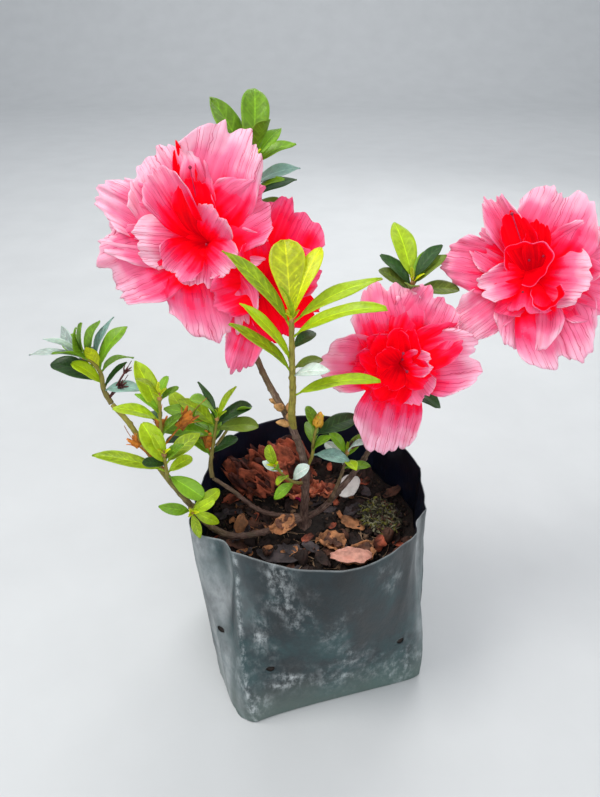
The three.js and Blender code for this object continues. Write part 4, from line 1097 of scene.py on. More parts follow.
def make_soil():
    skin = Skin()
    bearings = bag_bearings(SOIL_COLUMNS)[None]
    shares = np.broadcast_to(np.linspace(0.02, 1, SOIL_ROWS)[:, None], (SOIL_ROWS, SOIL_COLUMNS))
    sides = bag_point(bearings, np.linspace(SOIL_SHARE, 0.02, SOIL_SIDE_ROWS)[1:, None], SOIL_GAP)
    add_rings(skin, np.concatenate([soil_surface(bearings, shares), sides]), flip=True)
    rng = np.random.default_rng(SOIL_SEED)
    turns = rng.uniform(0, ROUND, CRUMBS)
    places = soil_surface(turns, np.sqrt(rng.uniform(0.03, 0.93, CRUMBS)))
    sizes = rng.gamma(*CRUMB_SPREAD, CRUMBS).clip(*CRUMB_LIMITS)
    kinds = rng.choice(len(CRUMB_DEAL), CRUMBS, p=CRUMB_DEAL)
    for place, size, kind in zip(places, sizes, kinds):
        add_lump(skin, place + (0, 0, 0.25 * size), size * rng.uniform(0.6, 1.2, 3), rng, kind)
    for _ in range(FIBRES):
        add_fibre(skin, rng, len(CRUMB_DEAL))
    skin.build("soil_top", ["soil", "soil_crumb", "soil_chip", "fibre"], "soil", "soil")


def lump():
    """A twenty-sided lump: top, two rings of five, bottom."""
    low, wide = math.sqrt(0.2), math.sqrt(0.8)
    rings = [
        [(wide * math.cos(a), wide * math.sin(a), side * low) for a in ROUND * (np.arange(5) + start) / 5]
        for side, start in ((1, 0), (-1, 0.5))
    ]
    faces = []
    for i in range(5):
        a, b = 1 + i, 1 + (i + 1) % 5
        faces += [(0, a, b), (a, a + 5, b), (a + 5, b + 5, b), (11, b + 5, a + 5)]
    return np.array([(0, 0, 1), *rings[0], *rings[1], (0, 0, -1)]), np.array(faces)


LUMP, LUMP_FACES = lump()


def turned(rng):
    """A seeded turn about any axis."""
    w, x, y, z = unit(rng.normal(size=4))
    return np.array([
        [1 - 2 * (y * y + z * z), 2 * (x * y - z * w), 2 * (x * z + y * w)],
        [2 * (x * y + z * w), 1 - 2 * (x * x + z * z), 2 * (y * z - x * w)],
        [2 * (x * z - y * w), 2 * (y * z + x * w), 1 - 2 * (x * x + y * y)],
    ])


def add_lump(skin, place, half, rng, kind):
    shape = LUMP * rng.uniform(0.7, 1.25, (len(LUMP), 1)) * half
    skin.add(place + shape @ turned(rng).T, LUMP_FACES, kind)


def add_wood(skin, route, radii, youth, sides, seed, flare=NO_FLARE):
    """A tapering limb with the bark's relief, leaf scars and swollen nodes."""
    count = max(8, int(route.length / WOOD_STEP))
    shares = np.linspace(0, 1, count)
    runs = shares * route.length
    turns = ROUND * np.arange(sides) / sides
    radius = (radii[0] + (radii[1] - radii[0]) * shares)[:, None]
    radius = radius + flare[0] * np.exp(-runs / flare[1])[:, None] * (1 + 0.3 * np.cos(3 * turns + 1))
    rng = np.random.default_rng(seed + BARK_SEED)
    swell = np.zeros((count, sides))
    run = rng.uniform(3, 7)
    while run < route.length - 2:
        bearing = rng.uniform(0, ROUND)
        ring, below = hill(runs, run, 0.8)[:, None], hill(runs, run + 0.4, 0.7)[:, None]
        scar = below * np.maximum(0, np.cos(turns - bearing)) ** 4
        swell += rng.uniform(*SCAR_SWELL) * ring + rng.uniform(*SCAR_RIDGE) * scar
        run += rng.uniform(*SCAR_GAP)
    path = np.array([route.at(share) for share in shares])
    rings = sweep(path, radius, sides)
    old = 1 - np.clip(youth[0] + (youth[1] - youth[0]) * shares, 0, 1)[:, None]
    relief = (0.35 + 0.65 * old) * (0.06 * GRAIN(rings * (1, 1, 0.35)) + 0.05 * KNOT(rings))
    across = radii[0] * np.sin(turns) + 0.4 * np.cos(turns)
    marks = np.stack(np.broadcast_arrays(across, runs[:, None] + seed * 13.7, 1 - old), -1)
    add_tube(skin, path, radius * (1 + relief + swell), sides, 0, marks)


def make_limbs():
    for number, (name, limb) in enumerate(LIMBS.items()):
        skin = Skin()
        route = Route(limb["route"])
        add_wood(skin, route, limb["radii"], limb["youth"], 24, number, limb.get("flare", NO_FLARE))
        rng = np.random.default_rng(LIMB_SEED + number)
        for share, bearing, length in limb.get("scales", []):
            heading = leaf_spot(route.at(share), route.tangent(share), bearing, 35, length)[2]
            add_bud(skin, route.at(share) + 0.6 * heading, heading, length, 0.5 * length, SCALE, rng)
        skin.build(f"bark_{name}", TWIG_FINISHES[:2], name, "bark")


def add_bud(skin, place, heading, length, width, kind, rng):
    """A pointed bud of overlapping scales."""
    steps = np.linspace(0, 1, 8)
    radii = width / 2 * np.sin(np.pi * (0.12 + 0.86 * steps)) ** 0.8 + 0.04
    add_tube(skin, place + np.outer(steps * length, heading), radii, 8, kind)
    u, v = sheet_places(6, 5)
    for k in range(5):
        out, side = outward(heading, ROUND * k / 5 + rng.uniform(-0.3, 0.3))
        lean = width * (0.5 * np.sin(np.pi * np.minimum(1, 0.15 + 0.75 * u)) + 0.1) * (1 - 0.25 * v * v)
        reach = length * (0.45 + 0.12 * k / 2) * u
        half = width * 0.42 * np.sqrt(np.maximum(0, 1 - u**2.2)) + 0.03
        add_sheet(skin, moved(place, (reach, heading), (lean, out), (half * v, side)), 0.14, kind)


def leaf_spot(base, axis, bearing, rise, reach):
    """Where a leaf sits on an axis, its direction at a bearing and rise in degrees, its reach."""
    rise = math.radians(rise)
    out, _ = outward(axis, math.radians(bearing))
    return base, axis, math.cos(rise) * out + math.sin(rise) * axis, reach


def shoot_spots(shoot):
    """Where the leaves of a shoot sit, and which way and how far they reach."""
    root, tip, count, start, length, seed, first, turn, low, high = shoot[:10]
    root = np.array(root, float)
    run = np.array(tip, float) - root
    draw = draws(seed)
    spots = []
    for i in range(count):
        share = i / (count - 1)
        bearing = first + i * turn + (2 * draw() - 1) * STIR_BEARING
        rise = low + (high - low) * share + (2 * draw() - 1) * STIR_RISE
        reach = length * (1 - WHORL_TAPER * share) * (1 + (2 * draw() - 1) * STIR_LENGTH)
        base = root + run * (start + (1 - start) * share)
        spots.append(leaf_spot(base, unit(run), bearing, rise, reach))
    return spots


def leaf_frame(spot):
    base, axis, direction, reach = spot
    up = unit(axis - (axis @ direction) * direction)
    return base, direction, up, np.cross(direction, up), reach


def is_kept(spot, broad, corners):
    """Whether the node holds this leaf: some of its corners are there."""
    base, direction, up, side, reach = leaf_frame(spot)
    probes = [base + direction * reach]
    for share in HELD_SHARES:
        blade = (share - PETIOLE) / (1 - PETIOLE)
        half = LEAF_WIDTH * broad * reach * math.sin(math.pi * blade**1.15) ** 0.9 / 2
        centre = base + direction * share * reach + up * reach * LEAF_BOW * 4 * share * (1 - share)
        probes += [centre + side * half * sign + up * LEAF_FOLD * half for sign in (-1, 1)]
    near = [np.linalg.norm(corners - probe, axis=1).min() < HELD_NEAR for probe in probes]
    return sum(near) >= HELD_POINTS


def add_leaf(skin, spot, broad, tone, rng, form="p"):
    """A folded, arched blade with a midrib and side veins, on a short petiole."""
    base, direction, up, side, reach = leaf_frame(spot)
    up = unit(up + LEAF_TURN * (LIGHTWARD - (LIGHTWARD @ direction) * direction))
    side = np.cross(direction, up)
    share = np.linspace(PETIOLE, 0.996, BLADE_ROWS)[:, None]
    blade = (share - PETIOLE) / (1 - PETIOLE)
    v = BLADE_COLUMNS[None]
    foot, tip, wide = LEAF_FORMS[form]
    crest = (foot / (foot + tip)) ** foot * (tip / (foot + tip)) ** tip
    outline = blade**foot * (1 - blade) ** tip / crest
    half = np.maximum(0.3, LEAF_WIDTH * broad * wide * reach * outline / 2)
    half = half * (1 + 0.035 * np.sin(9 * blade + rng.uniform(0, 6)) * blade)
    droop = rng.uniform(-0.05, 0.015) * reach * share**3
    twist = rng.uniform(-0.12, 0.12) * share
    vein = 0.01 * reach * np.sin(ROUND * (6.5 * blade - 1.3 * np.abs(v))) * np.abs(v) * (1 - v**4)
    phase = ROUND * (1.3 * blade + rng.uniform(0, 1)) + (v > 0) * rng.uniform(0, 3)
    wave = 0.03 * reach * v * v * np.sin(phase) * blade
    rib = -0.16 * hill(v, 0, 0.12) * (1 - 0.6 * blade)
    arch = reach * LEAF_BOW * 4 * share * (1 - share) + LEAF_FOLD * half * np.abs(v) ** 1.35
    height = arch + droop + vein + wave + rib + twist * half * v
    grid = moved(base, (share * reach + 0 * v, direction), (height, up), (half * v, side))
    tones = len(LEAF_TONES)
    number = list(LEAF_TONES).index(tone)
    top = np.full(len(BLADE_COLUMNS) - 1, number)
    top[len(top) // 2] = number + tones
    marks = np.stack(np.broadcast_arrays(blade, v, (37.7 * reach + base[0]) % 1), -1)
    add_sheet(skin, grid, LEAF_THICK, (top, number + 2 * tones, number), marks)
    steps = np.linspace(0, PETIOLE_END, 7)
    stem = moved(base, (steps * reach, direction), (reach * LEAF_BOW * 4 * steps * (1 - steps) - 0.18, up))
    add_tube(skin, stem, np.linspace(*PETIOLE_RADII, 7), 6, number + tones)


def make_mass(number, name, mass):
    """One mass: its stem and twigs, then the leaves that its solid holds, and young ones at the tip."""
    leaves, wood = Skin(), Skin()
    rng = np.random.default_rng(MASS_SEED + number)
    radius, broad, youth = mass["size"]
    young = (youth * 0.7, youth)
    stem = Route(mass["stem"])
    add_wood(wood, stem, [radius * share for share in STEM_TAPER], young, 14, 20 + number)
    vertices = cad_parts[f"foliage_{name}"].data.vertices
    corners = np.empty(len(vertices) * 3, np.float32)
    vertices.foreach_get("co", corners)
    corners = corners.reshape(-1, 3) / MM
    placed = zip(mass.get("placed", []), mass.get("tones", ""), mass.get("forms", ""))
    spots = [(leaf_spot(stem.at(s), stem.tangent(s), *rest), tone, form)
             for (s, *rest), tone, form in placed]
    deal = mass.get("deal", COMMON_DEAL)
    tips = [(stem.at(1), stem.tangent(1))]
    for shoot in mass.get("shoots", []):
        for i, spot in enumerate(shoot_spots(shoot)):
            spots.append((spot, deal[i % len(deal)], WHORL_FORMS[i % len(WHORL_FORMS)]))
        if shoot[10:]:
            twig = Route(shoot[:2])
            add_wood(wood, twig, [radius * share for share in TWIG_TAPER], young, 10, 40 + number)
            tips.append((twig.at(1), twig.tangent(1)))
    for spot, tone, form in spots:
        if is_kept(spot, broad, corners):
            add_leaf(leaves, spot, broad, tone, rng, form)
    length, width = mass.get("bud", TIP_BUD)
    for place, heading in tips:
        kind = PLUMP if "bud" in mass else SCALE
        add_bud(wood, place - 0.3 * length * heading, heading, length, width, kind, rng)
        for k in range(TIP_LEAVES):
            bearing, rise, reach = (rng.uniform(*span) for span in TIP_SPANS)
            bearing += 360 / TIP_LEAVES * k
            spot = leaf_spot(place - 0.4 * heading, heading, bearing, rise, reach)
            add_leaf(leaves, spot, 1.0, "y" if youth > 0.6 else "l", rng)
    for piece, (share, bearing, rise, length, size, kind) in enumerate(mass.get("calyxes", [])):
        spot = leaf_spot(stem.at(share), stem.tangent(share), bearing, rise, length)
        add_calyx(wood, spot, size, kind, piece)
    wood.build(f"twigs_{name}", TWIG_FINISHES, f"foliage_{name}", "bark")
    leaves.build(f"leaves_{name}", LEAF_FINISHES, f"foliage_{name}", "leaves")


def add_calyx(skin, spot, size, kind, seed):
    """A spent calyx: a thin stalk, a ragged cup of narrow lobes, and the thread left in it."""
    base, _, direction, reach = spot
    rng = np.random.default_rng(CALYX_SEED + seed)
    steps = np.linspace(0, 1, 6)[:, None]
    cup = base + direction * (reach - 0.6 * size)
    add_tube(skin, base + steps * (cup - base), np.full(6, 0.42), 6, kind)
    second = cross_frame(direction)[1]
    thread = cup + steps * 1.2 * size * direction + steps**2 * 0.5 * size * second
    add_tube(skin, thread, np.full(6, 0.16), 5, kind)
    u, v = sheet_places(8, 5)
    for k in range(7):
        out, side = outward(direction, ROUND * k / 7 + rng.uniform(-0.3, 0.3))
        lean = 0.5 + size * 0.3 * u**1.4 * rng.uniform(0.5, 1.4) + 0.12 * np.sin(9 * u + k)
        run = size * 0.6 * u * rng.uniform(0.8, 1.15)
        half = size * (0.15 if kind == DRY else 0.09) * (1 - 0.75 * u**1.5) + 0.08
        add_sheet(skin, moved(cup, (run, direction), (lean, out), (half * v, side)), 0.16, kind)


def add_petal(skin, flower, petal, index):
    """A petal: it climbs the funnel's throat, then spreads, with pleats that fan out from its
    foot to a ruffled margin. Its back is paler than its face."""
    bearing, reach, width, lift, roll, flush, notch = petal
    foot, axis, seed = flower["foot"], unit(np.array(flower["axis"])), flower["seed"]
    out, side = outward(axis, math.radians(bearing))
    draw = draws(seed * 100 + index)
    slant = draw() - 0.5
    p, q, r, s, t = (ROUND * draw() for _ in range(5))
    u = np.linspace(0.1, 1, PETAL_ROWS)[:, None]
    v = np.linspace(-1, 1, PETAL_COLUMNS)[None]
    wide = np.abs(v)
    fan = v + 0.13 * np.sin(3.1 * v + p) + 0.05 * np.sin(7 * v + q)
    edge = np.maximum(wide**2, smoothstep(u, 0.55, 1.0))
    ruffles = 0.026 * np.sin(5.3 * fan + r) + 0.014 * np.sin(16 * fan + s) + 0.007 * np.sin(33 * fan + t)
    run = u * (1 - (0.16 * wide**4 + 0.07 * v * v) * u * u) * (1 + u**4 * ruffles)
    run = run - notch * u**5 * hill(v, 0.5 * slant, 0.14)
    swell = 0.13 + 0.87 * np.sin(math.pi / 2 * np.minimum(1, u / 0.8)) ** 1.15
    half = width / 2 * swell * (1 + 0.05 * u**2 * np.sin(9 * u + t + 2 * (v > 0)) * wide)
    climb = THROAT * np.sin(math.pi / 2 * np.minimum(1, run / 0.5))
    arch = lift * run * run - 0.45 * np.maximum(0, run - 0.62) ** 2
    pleats = 0.05 * u**2 * np.sin(4.2 * fan + q + u) * (0.4 + 0.6 * edge)
    pleats = pleats + 0.02 * u**3 * np.sin(9 * fan + r + 2 * u) * (0.2 + 0.8 * edge)
    pleats = pleats + 0.016 * smoothstep(u, 0.7, 1) * np.sin(23 * fan + s + 4 * u)
    hem = 0.045 * u * wide**4 * np.sin(15 * u + p + 2.5 * (v > 0))
    crease = -0.04 * u * hill(v, 0, 0.14) * (1 - 0.6 * u)
    raised = climb + reach * (arch + pleats + hem + crease) + roll * half * v * v
    aside = half * v + slant * 0.2 * reach * u * u
    grid = moved(np.array(foot, float), (reach * run**1.5, out), (raised, axis), (aside, side))
    streak = 0.045 * np.sin(13 * fan + s) + 0.03 * np.sin(29 * fan + t)
    tint = u * (1 - flush) + streak * np.sin(math.pi * np.minimum(1, u)) + 0.05 * TINT_CLOUD(grid)
    tint = tint + 0.07 * smoothstep(wide, 0.78, 1) * smoothstep(u, 0.35, 0.75)
    add_blossom_sheet(skin, grid, tint, 0.44 + 0.5 * tint, v, index + seed)


def add_blossom_sheet(skin, grid, face, back, across, own):
    """A sheet of a flower with one tint on its face and another on its back."""
    face, back = (np.stack(np.broadcast_arrays(tint, across, float(own)), -1) for tint in (face, back))
    add_sheet(skin, grid, PETAL_SHEET, marks=back, back=face, bands=PETAL_BANDS)


def add_cup(skin, flower, cup, index):
    """A petal curled into a cup, red inside, with a thin pale rim."""
    bearing, distance, radius, height, opening = cup
    axis = unit(np.array(flower["axis"]))
    first, second = cross_frame(axis)
    out, _ = outward(axis, math.radians(bearing))
    middle = np.array(flower["foot"], float) + distance * out + (THROAT - 0.35 * height) * axis
    turn = np.radians(opening) + np.linspace(0.12, CUP_SPANS[index], 72)[None]
    t = np.linspace(0, 1, 22)[:, None]
    wave = 0.13 * np.sin(3 * turn + index) + 0.05 * np.sin(8 * turn + 2 * index)
    overlap = 0.12 * (turn - turn[0, 0]) / ROUND
    far = radius * (0.3 + 0.7 * np.sin(np.pi / 2 * t**0.8) + 0.12 * t**6 + overlap + wave * t**2)
    up = height * t * (1 + 0.9 * wave) - 0.3 * height * hill(turn, turn[0, 0], 0.5) * t
    grid = moved(middle, (far * np.cos(turn), first), (far * np.sin(turn), second), (up, axis))
    face = 0.38 + (0.22 + 0.12 * np.sin(2 * turn)) * t**14
    add_blossom_sheet(skin, grid, face, 0.62 + 0.16 * t + 0 * turn, np.sin(turn), index + 3)


def add_sepals(skin, foot, axis, rng):
    """Five short green lobes round the funnel's base."""
    u, v = sheet_places(9, 7)
    for k in range(5):
        out, side = outward(axis, ROUND * k / 5 + rng.uniform(-0.15, 0.15))
        half = 1.15 * np.sqrt(np.maximum(0, 1 - u**2.4)) + 0.05
        lean = 1.5 + 1.5 * u**1.3 - 0.2 * v * v
        add_sheet(skin, moved(foot, (-2.2 + 5.6 * u, axis), (lean, out), (half * v, side)), 0.25, GREEN)


def add_style(skin, foot, axis, bearing, lean, length, thick=STYLE_THICK):
    """A curved thread out of the throat, with a dark knob at its end."""
    out, _ = outward(axis, math.radians(bearing))
    tilt = math.radians(lean)
    steps = np.linspace(0, 1, 16)
    bend = np.sin(tilt) * steps**1.6
    path = foot + 2 * axis + length * (np.outer(steps, axis) * np.cos(tilt) + np.outer(bend, out))
    add_tube(skin, path, np.full(16, thick), 6, THREAD)
    knob = path[-1] + np.outer(np.linspace(-0.5, 0.9, 6), unit(path[-1] - path[-2]))
    add_tube(skin, knob, KNOB_RADII * (thick / STYLE_THICK) ** 0.5, 8, KNOB)


def make_bloom(name, flowers):
    skin = Skin()
    for flower in flowers:
        axis, foot = unit(np.array(flower["axis"])), np.array(flower["foot"], float)
        rng = np.random.default_rng(flower["seed"])
        for index, petal in enumerate(flower["petals"]):
            add_petal(skin, flower, petal, index)
        for index, cup in enumerate(flower.get("cups", [])):
            add_cup(skin, flower, cup, index)
        heights = np.linspace(-1, 11, 9)
        tube = sweep(foot + np.outer(heights, axis), np.interp(heights, *TUBE), 20)
        tube = np.concatenate([tube, tube[:, :1]], 1)
        # The tube takes the first, darkest tint: painted shade deep in the throat
        add_sheet(skin, tube, 0.3, marks=np.zeros(tube.shape), bands=PETAL_BANDS)
        stalk = Route([*flower["stalk"], foot + (1.5 - CALYX) * axis, foot - 0.5 * axis])
        path = [stalk.at(share) for share in np.linspace(0, 1, 18)]
        add_tube(skin, path, np.linspace(*STALK_RADII, 18), 10, GREEN)
        add_sepals(skin, foot, axis, rng)
        for style in flower.get("styles", []):
            add_style(skin, foot, axis, *style)
        for _ in range(FILAMENTS):
            drawn = [rng.uniform(*span) for span in FILAMENT_SPANS]
            add_style(skin, foot, axis, *drawn, FILAMENT_THICK)
    skin.build(f"petals_{name}", BLOSSOM_FINISHES, f"bloom_{name}", "petals")


def add_crumpled(skin, where, half, seed, kind, leafy=0.0, rows=26, columns=18, folds=1.0, thick=0.22):
    """A crumpled sheet that fills a box: leafy draws its outline in towards a leaf's."""
    middle, *axes = where
    u, v = np.meshgrid(np.linspace(-1, 1, rows), np.linspace(-1, 1, columns), indexing="ij")
    outline = np.cos(u * np.pi / 2) ** 0.6
    width = (1 - leafy) * (0.75 + 0.25 * outline) + leafy * outline
    flat = np.stack([u, v * width, 0 * u], -1)
    sharp = 1 - 2 * np.abs(wobble(seed + 2, 1.0)(flat))
    height = 0.55 * wobble(seed, 1.5)(flat) + 0.22 * wobble(seed + 1, 0.55, 9)(flat) * folds
    height = height + 0.3 * sharp * folds
    curl = np.random.default_rng(seed).uniform(0.2, 0.7) * v * v
    stir = [0.1 * folds * wobble(seed + step, 0.9)(flat) for step in (3, 4)]
    shares = (flat[..., 0] + stir[0], flat[..., 1] + stir[1], height + curl - 0.2)
    grid = moved(middle, *((h * np.clip(share, -1, 1), axis) for h, share, axis in zip(half, shares, axes)))
    add_sheet(skin, grid, thick, kind)


def add_strips(skin, where, half, seed, kinds, count, length, width, curl):
    """Curled, twisted strips heaped in a box."""
    middle, *axes = where
    half = np.array(half)
    rng = np.random.default_rng(seed)
    v = np.linspace(-1, 1, 4)
    s = np.linspace(-0.5, 0.5, 9)
    for _ in range(count):
        spot = rng.normal(size=3)
        spot = unit(spot) * rng.uniform(0, 1) ** 0.4
        spot[2] = abs(spot[2]) * 0.95 - 0.25
        centre = spot * (half - 0.12 * length)
        heading, pitch = rng.uniform(0, ROUND), rng.uniform(-0.5, 0.5)
        bend, roll = rng.normal(0, curl), rng.uniform(0, ROUND)
        reach = length * rng.uniform(0.6, 1.3)
        angle = heading + bend * s * 2
        path = np.stack([np.cos(angle), np.sin(angle), np.sin(pitch + bend * s)], -1)
        path = centre + np.cumsum(path, 0) * reach / 9
        path = np.clip(path - (path.mean(0) - centre), -half, half)
        wide = width * rng.uniform(0.6, 1.3) * np.cos(s * np.pi * 0.9) ** 0.6
        lean = roll + 1.5 * s * rng.normal()
        side = np.stack([-np.sin(angle) * np.cos(lean), np.cos(angle) * np.cos(lean), np.sin(lean)], -1)
        strip = path[:, None] + (wide[:, None] * v)[..., None] * side[:, None]
        strip[..., 2] += 0.3 * wide[:, None] * v * v
        grid = moved(middle, *((strip[..., i], axis) for i, axis in enumerate(axes)))
        add_sheet(skin, grid, 0.16, int(rng.choice(kinds)))


def add_curl(skin, place, tall, wide, lean, kind):
    """A dead leaf rolled up along its midrib, standing on its foot with its tip bent over."""
    u, v = sheet_places(22, 15)
    half = 0.7 * wide * np.sin(np.pi * (0.12 + 0.87 * u)) ** 0.8
    half = half * (1 + 0.12 * np.sin(13 * u + 3 * (v > 0)) * np.abs(v))
    roll = 1.5 * v + 0.12 * np.sin(5 * v + 6 * u)
    _, out, side, up = tilted(place, math.radians(lean), 0)
    depth = half * (1 - np.cos(roll)) + 0.45 * tall * u * u
    height = tall * u * (1 - 0.25 * u * u) + 0.3 * np.sin(9 * v + 11 * u)
    add_sheet(skin, moved(place, (depth, out), (half * np.sin(roll), side), (height, up)), 0.22, kind)


SCRAPS = 170
# How high a scrap lies over the soil, and its half length
SCRAP_LIFT, SCRAP_HALF = (0.8, 3.2), (2.2, 6.5)
SCRAP_FINISHES = ["dead_brown", "dead_tan", "withered_brown", "dead_grey", "dead_dark"]
# How often a scrap has each of those finishes
SCRAP_DEAL = [0.26, 0.12, 0.14, 0.16, 0.32]
# Curled leaves: place of the foot, height, half width, bearing that they lean to, finish
CURLS = [
    ((-39, -9, 86), 15, 4.6, 60, 1), ((-30, -14, 86), 9, 4, 150, 4), ((27, -16, 86), 10, 5, 20, 2),
    ((-6, -26, 86), 9, 4.5, 110, 4), ((16, -8, 86), 8, 4, 200, 0), ((34, -12, 86), 9, 4, 80, 0),
]


def make_scraps():
    """Scraps of dead leaves over the soil."""
    skin = Skin()
    rng = np.random.default_rng(SCRAP_SEED)
    for number in range(SCRAPS):
        place = soil_surface(rng.uniform(0, ROUND), math.sqrt(rng.uniform(0.05, 0.84)))
        place = place + (0, 0, rng.uniform(*SCRAP_LIFT))
        where = tilted(place, rng.uniform(0, ROUND), rng.normal(0, 0.3))
        half = rng.uniform(*SCRAP_HALF) * np.array([1, rng.uniform(0.35, 0.65), rng.uniform(0.2, 0.45)])
        kind, leafy = int(rng.choice(len(SCRAP_DEAL), p=SCRAP_DEAL)), rng.uniform(0.5, 1.0)
        add_crumpled(skin, where, half, 2000 + 10 * number, kind, leafy, 14, 10, thick=0.18)
    for place, *shape in CURLS:
        add_curl(skin, np.array(place, float), *shape)
    skin.build("litter_scraps", SCRAP_FINISHES, "soil", "dead_leaf")


# A crumpled sheet of litter: where its middle lies and how big it is, in shares of the piece's half
# sizes, a step on from the piece's seed, its finish, and how leafy, fine, folded and thick it is
WHOLE = ((0, 0, 0), (1, 1, 1), 0, 0)
PETAL_HEAP = [
    *(((x, 0.3 * (-1) ** k, 0.15), (0.36, 0.7, 0.85), 10 * k, kind)
      for k, (x, kind) in enumerate([(-0.62, 0), (-0.25, 0), (0.1, 0), (0.5, 0), (-0.45, 1), (0.72, 1)])),
    ((-0.12, -0.75, 0.1), (0.2, 0.3, 0.6), 97, 2),
]
BLOOM_HEAP = [
    *(((0, 0.4 * (k - 1), 0.25 * (1 - k)), (0.96, 0.75, 0.8), 400 + 10 * k, k % 2, 0.3, 60, 34, 1.3)
      for k in range(3)),
    *((((-0.75 + 0.15 * k) * 0.8, 0.4 * math.cos(2.1 * k) - 0.3, 0.5 * math.sin(2.4 * k)),
       (0.36, 0.6, 0.6), 10 * k, k % 2) for k in range(11)),
]
CRUMPLED_LEAF = ("dead_leaf", ["dead_tan", "dead_brown"],
                 [(*WHOLE, 0.4), ((0.2, 0.1, 0.2), (0.7, 0.7, 0.7), 6, 1, 0.4)])
# Litter: half sizes, turn, tilt, seed, slot, finishes, sheets, and then strips: their finishes,
# count, length, width and curl
LITTER = {
    "withered_petals": ((17, 6.5, 4.5), 4, 4, 8, "withered_petal",
                        ["withered_pink", "withered_brown", "withered_magenta"], PETAL_HEAP),
    "withered_bloom": ((22, 8, 17), -12, 30, 5, "withered_petal",
                       ["withered_brown", "withered_red", "withered_pink"], BLOOM_HEAP,
                       [0, 1], 40, 9, 0.8, 0.7),
    "pale_flake": ((5, 9, 1.3), -20, 10, 13, "pale_flake", ["flake"], [(*WHOLE, 0.35, 24, 24, 0.3, 0.5)]),
    "dead_leaf_left": ((8.5, 4.5, 2.6), 24, -4, 21, "dead_leaf", ["dead_brown", "dead_grey"],
                       [(*WHOLE, 1.0, 32, 18, 0.5), ((-0.5, 0, 0.4), (0.5, 0.6, 1.2), 3, 1, 0.8, 20, 14)]),
    "dead_leaf_front": ((13, 5.5, 1.8), -12, 8, 34, "dead_leaf", ["dead_grey"],
                        [(*WHOLE, 1.0, 34, 18, 0.45)]),
    "dead_leaf_rim": ((9.5, 5, 2.8), -6, 6, 55, "dead_leaf", ["dead_pink"], [(*WHOLE, 0.8, 30, 18, 0.6)]),
    "crumpled_leaf_left": ((6.5, 5, 3.4), 20, 0, 89, *CRUMPLED_LEAF),
    "crumpled_leaf_middle": ((7, 5.5, 3.6), -30, 0, 144, *CRUMPLED_LEAF),
    "crumpled_leaf_right": ((9, 5.5, 3.6), 25, 8, 233, *CRUMPLED_LEAF),
    "moss_tuft": ((11, 14, 3.2), 10, 0, 377, "moss",
                  ["moss_dark", "moss_grey", "moss_green", "dead_brown"],
                  [], [0, 0, 0, 1, 1, 2, 3], 420, 4.6, 0.55, 1.4),
}


def make_litter():
    for name, (half, turn, tilt, seed, slot, finishes, sheets, *strips) in LITTER.items():
        skin = Skin()
        low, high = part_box(name)
        middle = (np.array(low) + np.array(high)) / 2 / MM
        where = tilted(middle, math.radians(turn), math.radians(tilt))
        for share, size, step, kind, *form in sheets:
            shifted = middle + sum(s * h * axis for s, h, axis in zip(share, half, where[1:]))
            part = [h * k for h, k in zip(half, size)]
            add_crumpled(skin, (shifted, *where[1:]), part, seed + step, kind, *form)
        if strips:
            add_strips(skin, where, half, seed, *strips)
        skin.build(f"litter_{name}", finishes, name, slot)


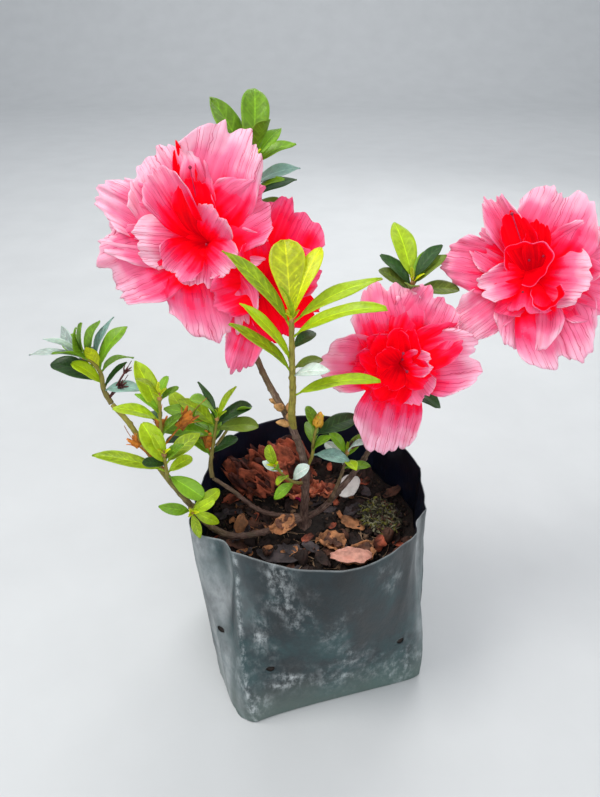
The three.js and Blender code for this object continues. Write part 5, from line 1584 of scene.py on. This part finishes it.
def make_stage():
    """A plain pale floor that sweeps up far behind the plant."""
    s = Shader("pale_floor", 0.7)
    s.set("Base Color", s.spot.noise(14, 4).ramp((0.3, 200, 202, 204), (0.7, 205, 207, 209)))
    s.bump(s.spot.noise(220, 4), 0.0005, 0.15)
    front, back, bend, top, half = -2.4, 2.2, 0.9, 3.4, 4.0
    turns = np.linspace(0, np.pi / 2, 14)[1:]
    rows = [(front, 0.0), (back, 0.0)]
    rows += [(back + bend * math.sin(t), bend * (1 - math.cos(t))) for t in turns]
    rows += [(back + bend, top)]
    points = [(x, y, z) for y, z in rows for x in (-half, half)]
    faces = [[2 * k, 2 * k + 1, 2 * k + 3, 2 * k + 2] for k in range(len(rows) - 1)]
    new_object("floor", points, faces, [s.material])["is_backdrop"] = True


# Soft square lights: place in metres, size, power, colour, and what they look at
LIGHTS = {
    "key": ((-0.5, -0.15, 1.0), 0.35, 6.0, (1.0, 0.98, 0.94), (0, 0, 0.12)),
    "front": ((0.35, -0.9, 0.6), 0.9, 5.0, (1.0, 1.0, 1.0), (0, 0, 0.12)),
    "rear": ((0.3, 0.8, 0.7), 0.6, 3.0, (1.0, 1.0, 0.97), (0, 0, 0.12)),
    "backdrop": ((0, 1.1, 1.7), 1.6, 16, (1.0, 1.0, 1.0), (0, 2.4, 0.3)),
}


def make_lights():
    world = bpy.data.worlds.new("sky")
    world.use_nodes = True
    background = world.node_tree.nodes["Background"]
    background.inputs["Color"].default_value = (0.9, 0.95, 1.0, 1.0)
    background.inputs["Strength"].default_value = 0.55
    bpy.context.scene.world = world
    for name, (place, size, power, colour, target) in LIGHTS.items():
        data = bpy.data.lights.new(name, "AREA")
        data.size, data.energy, data.color = size, power, colour
        light = link(bpy.data.objects.new(name, data))
        light.location = place
        x, y, z = unit(np.array(target) - np.array(place))
        light.rotation_euler = (math.acos(-z), 0, math.atan2(y, x) - math.pi / 2)
    bpy.context.scene.view_settings.view_transform = "Standard"


def make_camera():
    data = bpy.data.cameras.new("camera")
    data.sensor_width = SENSOR
    data.lens = SENSOR * FOCAL_PIXELS / PHOTO_HEIGHT
    data.clip_start, data.clip_end = 0.01, 20
    camera = link(bpy.data.objects.new("camera", data))
    camera.location = [c * MM for c in CAMERA_PLACE]
    camera.rotation_euler = (math.radians(90 - CAMERA_PITCH), 0, 0)
    bpy.context.scene.camera = camera


make_camera()
make_lights()
make_stage()
make_bag()
make_soil()
make_limbs()
for number, (name, mass) in enumerate(MASSES.items()):
    make_mass(number, name, mass)
for name, flowers in BLOOMS.items():
    make_bloom(name, flowers)
make_scraps()
make_litter()

boxes = {"cad": cad_box, "visual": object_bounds()}
boxes = {key: [[round(c, 5) for c in corner] for corner in box] for key, box in boxes.items()}
